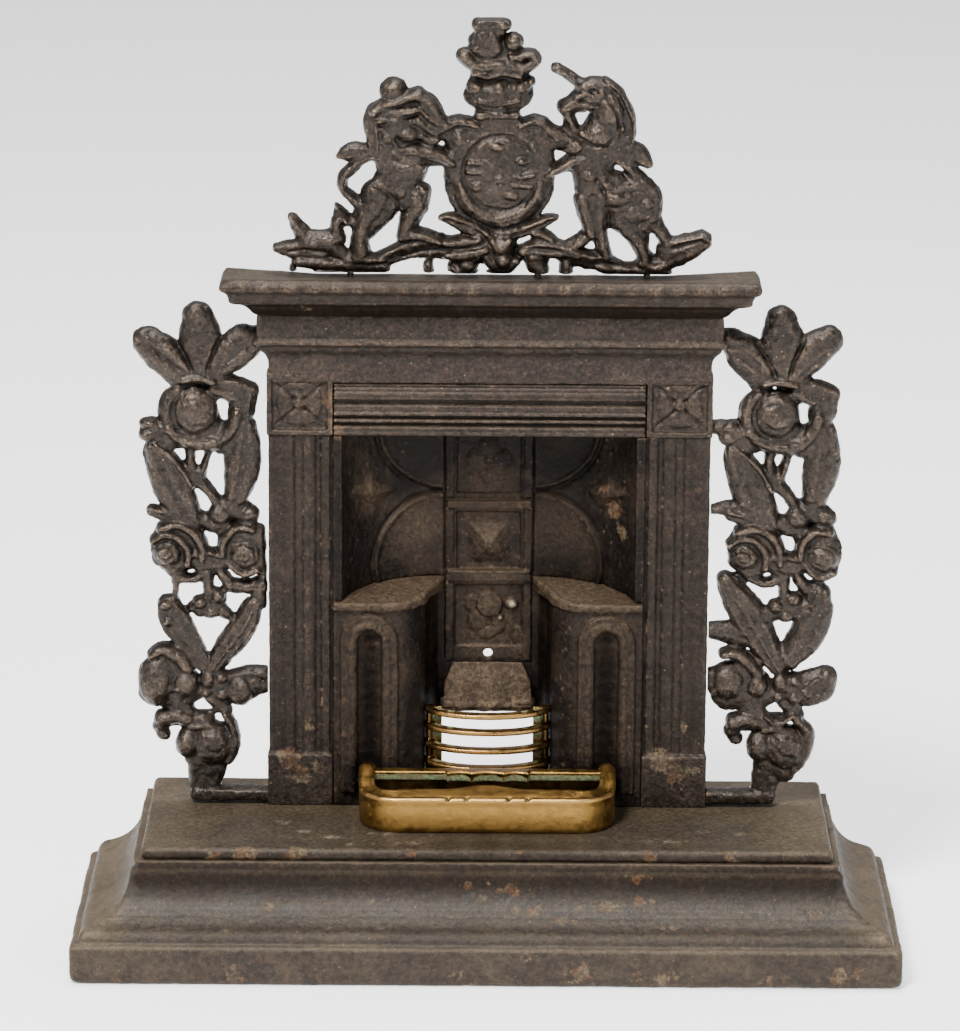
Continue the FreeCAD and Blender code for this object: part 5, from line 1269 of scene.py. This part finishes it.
CREST = read_shapes("""
    # left beast: cap, brow and mane
    ball 8.2: -31.4 277.3 4.5 4;
    dome 8.8: -37.4 270.6 1.8, -34.2 272.5 1.9, -30.4 273.8 1.9, -26.6 275.5 1.9, -23.5 276.1 2.1;
    dome 8.2: -24.1 275.7 1.8, -20.6 274.1 2.1, -18.1 271.3 2.1, -16.5 268.4 1.8, -14.3 266.5 1.6;
    dome 9: -35.8 268 1.3, -32 268.7 1.4, -28.5 270 1.4, -25 271 1.4;
    dome 9: -22.5 272.3 1.3, -20.3 269.8 1.5, -17.4 267.2 1.5;
    fold 8: -38.1 270.1 1.9, -38.4 266.9 2.4, -37.7 263 2.3, -37.4 259.2 2.1; ball 9.2: -29.8 266.4 5.6 4.9;
    dome 8: -34.3 268.9 2.6, -29.2 270.8 2.9, -24.1 272.2 2.6, -20.3 270.6 2.3; ball 8.6: -22.5 268.1 3.6 3.2;
    ball 8.3: -33 262.5 3.2 3.2; ball 9.5: -26.9 264 4.9 3.1; dome 8.2: -24.7 268 1.6, -21.2 266.4 2.1, -18 264.2 1.9;
    dome 7.6: -22.2 262.8 1.6, -19.3 261.2 1.6, -17.4 261.8 1.3;
    fold 8.2: -35.8 264.4 1.6, -33 261.5 1.9, -30.1 258.3 1.9, -27.2 255.4 1.6;
    fold 7.8: -36.8 261.1 1.6, -34.2 258.5 1.9, -31.1 255.6 1.9, -29.1 252.7 1.3; ball 8: -27.9 257.6 5.2 2.9;
    dome 7.6: -30.4 258.5 2.3, -26.6 255.9 2.6, -22.8 253.4 2.3;
    # left beast: arms, body and legs
    dome 7.6: -18.4 264.4 2.3, -15.5 265.4 1.9, -13.6 266 1.6;
    dome 8.4: -26.6 258.3 2.6, -22.5 258 2.8, -18.7 257.4 2.3, -15.2 256.2 1.9, -12.6 254.2 1.5;
    dome 7.6: -26 255.9 6.8, -27.9 251.4 7.1, -29.1 247.5 5.5, -28.8 244.6 2.6; ball 8.2: -36.4 243.7 5.5 5.2;
    dome 7.8: -36.4 243.3 4.5, -38.3 239 4.9, -40.6 234.4 3.2, -41.8 229.2 2.6, -41.5 224.7 2.8;
    dome 7.4: -42.8 222.9 1.6, -38.7 222.6 1.6, -34.2 222.7 1.1; ball 8: -23.7 242.1 4.2 4.2;
    dome 7.6: -22.4 244.3 2.9, -24 239.7 3.9, -26.5 235.5 2.6, -27.8 231.2 2.1;
    dome 7.6: -28.4 229.9 1.9, -24.6 230.6 2.1, -20.5 230 1.9, -16.3 228.4 1.1;
    leaf 6: -49.2 255.5 0.6, -46.4 256.8 2.3, -42.9 257.5 2.6, -39.7 257.5 1.9;
    dome 5.6: -44.4 242.2 1.8, -47.6 245.4 1.5, -47.3 249 1.5, -45.1 251.9 1.5, -41.9 254.2 1.4, -39 255.5 1.3;
    dome 6: -40 255.9 1, -37.4 255.3 1.1, -35.2 256.3 1; dome 6: -45.1 242.6 1.6, -41.9 240.3 2.3;
    # shield, medallion and scrolls
    ball 6.4: 2.4 249.8 18.1 18.8; ball 7.6: 2.4 251 12 12.3;
    dome 7.2: -9.7 246.9 1.6, -7.1 241.1 1.9, -2.3 237.2 2.1, 3.4 236.3 2.1, 9.2 238.3 2.1, 13.6 242.9 1.9,
    15.4 248.4 1.6;
    dome 7.2: -15.2 265.3 1.6, -12.4 267.3 1.6, -8.5 267.6 1.5, -5 266.4 1.3;
    dome 7: 8.9 266.1 1.4, 12.7 267.8 1.6, 16.2 267.1 1.9, 18.8 264.6 1.9, 21 262.3 1.6; ball 7.4: -10.1 261.8 3.6 2.9;
    ball 7.4: 13.1 258.8 3.2 4.2; ball 7.2: -12.6 256 2.3 2.9; ball 8.2: 1.7 259.8 4.2 2.3;
    dome 7.9: -7.5 254.5 1.3, -3.7 254.5 1.5, 0.1 253.3 1.3; dome 7.8: -7.8 251.6 1.3, -3 251.3 1.3;
    ball 8.6: 2.7 249.2 4.2 2.9; dome 7.8: 7.1 250.4 1.3, 10.3 250.1 1.3, 13.5 250.8 1.1;
    dome 7.8: 6.5 247.5 1.3, 12.3 247.2 1.3; ball 8: -4.6 246.8 3.2 2.6; ball 8: 6.6 243.9 4.2 2.3;
    ball 8.2: 9.7 255 3.2 1.9;
    # finial: collar, bulb, spreading lobes, drum and cap
    plate 7.6: -4.4 269.8 1.2, 7.9 269.9 1.2; dome 6.2: -5.1 268.1 0.8, 8.6 268.2 0.8; ball 8.6: 1.9 276 11.3 6.1;
    ball 9.5: 2.2 278.4 2.6 3.4; ball 9: -5.2 278.6 3.2 2.6; ball 9: 9.2 278.8 3.2 2.5; ball 8.2: 12.2 280.6 1.5 1.6;
    dome 8.8: -4 274.8 1.4, 2 273.6 1.5, 8 274.8 1.4;
    dome 8.6: -8.3 287.8 2.3, -4.5 285.6 2.6, -0.1 285.6 2.8, 4.3 285.9 2.8, 9.4 285 2.4, 12.8 286.6 1.9;
    dome 8.4: -5.2 283.3 1.3, -0.7 282.3 1.5, 3.7 283.3 1.3, 8.8 282.4 1.3; ball 8.8: -8.7 288.8 2.6 2.6;
    dome 9: 6.2 288.2 1.3, 9.3 289.2 1.4, 12.8 289.3 1.6, 14.1 287.3 1.3; plate 8.4: -1.8 294.8 4.2, -1.7 291.9 5.2;
    ball 8.8: -4.6 291 2.9 1.6; ball 8.8: 0.8 291.1 2.6 1.8; ball 8.8: 6.5 293 2.8 3.2;
    dome 8.8: 5.6 289.2 1, 8.7 287.9 1; dome 8: -4.6 298.3 1.9, -0.2 298.9 2.1, 3.9 298.6 1.8;
    plate 6.8: -3.7 296.8 1.5, 2.7 296.9 1.5; dome 8.4: -4.6 299.9 0.7, -0.2 300.4 0.7, 3.6 299.6 0.6;
    # right beast: horn, head, neck and mane
    ridge 5: 20.2 284.7 1.5, 23.7 282.7 1.6, 27.8 279.8 1.7;
    dome 7.4: 23.1 272.1 2.4, 26 273.4 3.1, 29.8 274.7 3.6, 33.6 276.3 3.6;
    dome 7.2: 28.8 278.8 2.1, 32.3 279.5 2.3, 35.8 278.2 2.6; ball 8.6: 34.8 277.2 1.9 1.9;
    dome 8.2: 26.9 276.1 1, 30.4 277.1 1.1, 33.6 275.2 1; dome 6.4: 23.8 271 1.8, 24.8 268.1 1.8, 26.1 265.2 1.8;
    dome 7.8: 35.2 275.1 4.9, 37.1 270.6 6.1, 36.5 266.1 6.8, 34.7 261.6 7.1; ball 9.5: 37.2 271.4 5.2 7.0;
    ball 9.2: 34.3 263.6 6.2 5.2; ball 8.4: 31 274.2 4.5 2.9;
    fold 8: 36 280.3 1.5, 39.2 277.4 1.9, 41.8 273.3 1.9, 43.5 268.8 1.9, 44.2 264.3 1.6, 43.6 261 1.5;
    ball 8.2: 33.4 264.5 4.5 3.2;
    dome 8.2: 28.6 264.5 1.4, 31.2 261.9 1.5, 35.3 261.6 1.5, 39.4 263.6 1.4, 41.6 266.2 1.2;
    # right beast: body, legs and tail
    dome 7.6: 32.5 259.6 6.5, 31.9 255.1 7.1, 31.3 250.5 6.1, 30.7 246.6 4.5; ball 8.8: 26.4 260.1 4.5 3.2;
    dome 7: 27.1 261.1 2.3, 22.6 263 2.1, 19.1 264.9 1.8;
    dome 7.8: 30.6 255.7 2.9, 25.6 254.7 2.1, 21.1 252.4 1.6, 17.7 250.5 1; ball 8.6: 31.3 250.7 4.9 3.9;
    dome 7.6: 34.5 249.2 3.9, 36.5 246 3.9; dome 7.4: 34 245.3 3.2, 38.5 242.4 4.9, 43.6 240.5 6.1, 48.7 238.9 4.9;
    ball 9.2: 40.3 243.4 6.5 3.9; ball 8.4: 44.9 238.4 6.8 4.2; ball 8: 49.9 241 2.9 2.9;
    dome 7.4: 41.7 235.9 4.9, 45 231.4 3.2, 47.9 227.2 2.3, 49.3 222.6 1.9;
    dome 7.6: 29.2 242.4 2.8, 30.2 238.5 3.1, 31.5 234.6 2.6, 32.2 231.3 2.1;
    dome 7.2: 34 241.7 3.2, 34.4 236.8 2.9, 35.1 232.3 1.9, 35.8 227.7 1.9, 37.1 223.8 1.8;
    dome 6.2: 32.2 230.8 1.6, 29.1 228.8 1.6, 25.6 226.5 1.5, 22.7 224.2 1.3;
    dome 5.8: 39.9 255.5 1.3, 42.8 253.6 1.6, 46 250 1.8, 49.9 246.8 1.9, 52.5 243.9 1.7, 52.9 240.6 1.6;
    leaf 6.4: 41.7 259.1 1.8, 44.9 258.2 2.8, 48.1 256 2.4, 50.7 253.7 0.8;
    dome 6.6: 52.9 239.1 1.5, 51 236.5 2.1, 48.8 233.9 2.3;
    dome 6: 50.7 234.8 1.9, 54 231.9 1.9, 56.2 228.3 2.1, 56.6 224.7 2.1, 54.4 221.1 1.9;
    # ground foliage on the left
    leaf 5.8: -68.7 225.7 1.3, -64.9 225.4 2.6, -60.1 225.1 3.2, -54.7 224.9 2.9;
    ridge 5.6: -63.9 235.9 1, -62 233.3 2.1, -59.8 230.3 2.3; dome 5.4: -61.1 230 1.9, -56 229.4 1.7, -51.5 229.7 1.6;
    ridge 6: -49.5 239.9 0.6, -47.9 237.3 1.9, -46.4 234.7 1.9;
    dome 5.6: -49.2 234.7 1.8, -49.9 230.1 1.6, -49.6 226.2 1.6, -47 222.6 1.6; dome 5: -47 235.2 1.6, -43.5 234.3 1.3;
    dome 6.4: -61.1 221.6 1.9, -54 221 1.9, -44.4 220.5 1.9, -34.2 220.2 1.6;
    dome 5.6: -55.3 218.3 1.3, -45.1 218 1.3, -34.2 218.4 1.3;
    fold 7.2: -39.3 221 1.8, -33.5 223 2.4, -27.8 225.3 2.8, -21.4 226.6 2.9, -15 227 2.8, -10.5 226.1 2.6;
    # ground foliage in the middle and on the right
    fold 7: -16.3 236.1 0.6, -13.5 236.1 1.5, -9.6 234.2 2.3, -5.5 232.6 2.6, -2.3 230.3 2.3;
    dome 7.4: -14.1 228 1.6, -9.3 228.4 1.9, -4.2 229.4 1.9;
    dome 8: -14 224.2 1.6, -9.2 224.3 2.3, -4.8 224.9 2.3, -1.6 226.3 1.6; ball 7.6: -7.9 220.6 3.9 2.9;
    dome 7: -12.1 220.1 1.6, -9.2 217.5 1.9, -6 217.6 1.9; ball 8.8: 3.2 227.4 3.9 3.9; ball 9.2: 3.9 222.6 3.2 2.9;
    dome 8.6: 0.6 229.4 1.3, 3 226 1.3, 5.6 229.4 1.3; dome 7: -1.6 223.5 1.6, 1 220.9 1.9, 4.5 219.6 1.9, 8 222.2 1.6;
    fold 7.2: 5.7 230.8 1.3, 10.2 232.1 1.8, 14.9 234.1 1.9, 18.4 235.7 1.6, 21 236.4 0.8;
    dome 6.6: 13.7 231.4 1.3, 17.2 230.7 1.6, 19.5 228.5 1.6, 17.3 226.2 1.3;
    leaf 7.4: 9.9 225.6 1.3, 14.4 226.3 2.6, 19.2 226.3 2.9, 23.7 225.7 2.3, 27.8 224.4 1.6;
    dome 7: 13.8 221.6 2.9, 15.7 219 2.6; ball 7.4: 13.5 223.7 2.6 1.9;
    fold 7: 22.1 224 1.6, 26.9 224 2.3, 31.4 222.4 2.6, 35.8 222.4 2.3, 40.7 221.2 1.6;
    dome 6.4: 34.9 220.4 1.6, 44.5 219.8 1.6, 55.4 219.5 1.6; dome 5.8: 36.9 217.7 1.3, 47.8 217.4 1.3, 56.7 217.8 1.3;
    dome 6.2: 24 221.6 1.9, 24.1 217.6 2.1; dome 7.2: 47.7 221.9 1.3, 51.5 220.6 1.6, 55.4 221.3 1.6;
    leaf 6.2: 55.4 222.1 2.9, 59.8 225.1 4.5, 64.3 227.1 3.9, 68.4 228.7 2.3;
    dome 6.8: 58.5 228.8 1.2, 62.9 229.8 1.3, 67.4 230.5 1.6, 69.3 229.8 1.5;
    # feet that stand on the shelf
    dome 4.6: -63.4 219.3 1, -63.4 216.7 1; dome 5.6: -20.1 220.5 1.6, -19.8 216.9 1.6;
    dome 6: 2 218.8 2.3, 1 216.8 2.3; dome 5.8: 36.9 218 1.6, 38.2 216.7 1.6;
""")
CREST_GROOVES = [
    ([(2.8 + 11.9 * math.cos(turn), 251.2 + 12.1 * math.sin(turn))
      for turn in np.linspace(0.15, 2 * math.pi - 0.15, 44)], 0.8, -0.95),
    ([(2.8 + 16.2 * math.cos(turn), 249.6 + 16.4 * math.sin(turn)) for turn in np.linspace(3.5, 5.9, 24)], 0.8, -0.7),
] + read_strokes("""
    0.6 -0.9: -35 272, -29 272.6, -23.6 273.4, -19.6 270; 0.6 -0.9: -34 268.8, -28 269.6, -23 270, -19.8 266.4;
    0.7 -0.5: -31 262.6, -27.6 260.2, -23 261, -20.4 263; 0.6 -0.6: -33 256, -28 254, -20 254.4;
    0.7 -0.9: -38.4 247.6, -33.6 245, -30.4 241.6, -28.6 238; 0.7 -0.8: -24 246, -21 243.6;
    0.8 -0.8: 3 232.6, -2 233.4, -7 236.6; 0.8 -0.8: 3 232.6, 8 233.6, 13 236.6;
    0.8 -0.7: -7 281.4, -1 280.4, 3 282, 8 280.8, 11 281.6; 0.6 -1.0: 27 275, 30 274.4, 34.6 273.2;
    0.6 -0.9: 36 277, 40 270, 41 262; 0.6 -1.1: 28.6 263.4, 32 260.4, 36.4 260.6, 40.6 264.6;
    0.6 -0.8: 34 246.6, 38.4 245.6, 43 245, 47.6 246; 0.7 -0.9: 33 250.4, 35.4 247, 36.4 243;
    0.6 -0.7: 57 226.6, 62 228, 68 230; 0.6 -0.7: -66 224.6, -60 226, -53 225; 0.6 -0.7: 6 226, 14 227, 22 226;
    0.6 -0.7: -30 223.4, -22 225.6, -13 226.4; 0.8 -0.9: -9 231, -4 230;
""")
GARLAND_GROOVES = read_strokes("""
    0.7 -1.3: -102.6 196.4, -98.6 190.6, -95.4 184.6; 0.7 -1.3: -86.6 196.4, -89.6 190.4, -91.4 184.6;
    0.8 0.5: -106 194.6, -101.4 190.6, -97.4 185.6; 1.1 -0.35: -93.4 200, -93 193;
    0.7 -0.7: -78 193.6, -83 189.6, -89 184.4; 0.6 -0.6: -110 193.6, -105 189.6, -99.6 185.4;
    0.5 -1.0: -101.6 180.4, -96 181, -89.6 179.6; 0.7 -0.5: -99.6 170, -96 167.6, -91.6 168;
    0.6 -0.35: -99 175, -95 176.4, -91 175; 0.5 -0.6: -102 164.4, -96 162.6, -88 162.8;
    0.45 -0.7: -107.4 126, -105.6 127.4, -103 126.6, -102.4 124, -104.4 122.6, -106.6 123.4;
    0.5 -0.6: -100.6 121.6, -99.6 125, -102 128; 0.5 -0.6: -83 127.6, -79.6 128.4, -76 126.6, -75.6 122.6;
    0.45 -0.5: -82 123, -79 121.6, -77 123.6, -79 125.6; 0.6 -0.5: -94 61, -91 57.6, -87 57;
    0.6 0.4: -92.6 63, -88 62.6, -85.6 59; 0.6 0.4: -99.6 62, -97.4 59; 0.6 -0.3: -107 154, -103.6 147.6, -100 141;
    0.6 -0.3: -79.6 161, -80.4 153, -82 146;
""")


def moved_strokes(strokes, distance):
    return [([(x + distance, z) for x, z in line], width, rise) for line, width, rise in strokes]


GROUND_REACH = 5.6  # how far in from its rim the ground keeps swelling
CROWN_SHARE = 0.86  # share of its height above the ground that a shape keeps
THIN_HALF, THIN_GAIN = 3, 1.12  # stations narrower than this are widened, as worn castings have no fine lines


def build_relief(name, node, parts, grooves, back, seed, voxel, ground):
    """A casting in relief: melted shapes over a swollen ground, with worked lines, kept inside the CAD box."""
    pile = Pile().add_cushion(node, ground, GROUND_REACH)
    for shapes, shift in parts:
        full = [(section, rise if rise < ground else ground + (rise - ground) * CROWN_SHARE,
                 *[(x, z, wide * (THIN_GAIN if wide < THIN_HALF else 1), *rest) for x, z, wide, *rest in stations])
                for section, rise, *stations in shapes]
        add_shapes(pile, full, back, shift)
    piece = melt(name, pile, voxel, 6)
    carve(piece, grooves)
    weather(piece, seed, 0.16, 0.13, 0.24, 0.24)
    low, high = node_box(node)
    keep_inside(piece, low, high)
    return mark_relief_shade_and_highlight(piece)


def build_reliefs():
    crest = build_relief("crest_casting", "crest", [(CREST, 0)], CREST_GROOVES, back_of("crest"), 101, 0.42, 6.3)
    paint(crest, "rust", [(-31, 15, 280, 5, 0.45)])
    paint(crest, "soot", [(-30, 17, 262, 18, 0.16)])
    settle(crest, RELIEF_IRON, ["crest"])
    back = back_of("left_garland")
    left = build_relief("left_garland_casting", "left_garland", [(GARLAND, 0), (LEFT_ONLY, 0)], GARLAND_GROOVES, back,
                        111, 0.44, 5.5)
    settle(left, RELIEF_IRON, ["left_garland"])
    right = build_relief("right_garland_casting", "right_garland", [(GARLAND[1:], RIGHT_SHIFT), (RIGHT_ONLY, 0)],
                         moved_strokes(GARLAND_GROOVES, RIGHT_SHIFT), back, 121, 0.44, 5.5)
    settle(right, RELIEF_IRON, ["right_garland"])


# ---------------------------------------------------------------- build

build_base()
for jamb_node, jamb_side in (("left_jamb", -1), ("right_jamb", 1)):
    build_jamb(jamb_node, jamb_side)
build_lintel()
build_mouldings()
for hob_side in (-1, 1):
    build_hob(hob_side)
    build_coving(hob_side)
build_back()
build_grate()
build_fender()
build_reliefs()

for fastener in ("foot_screws", "shelf_studs", "crest_pins"):
    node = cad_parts[fastener]
    node.data.materials.clear()
    node.data.materials.append(FASTENER_IRON)
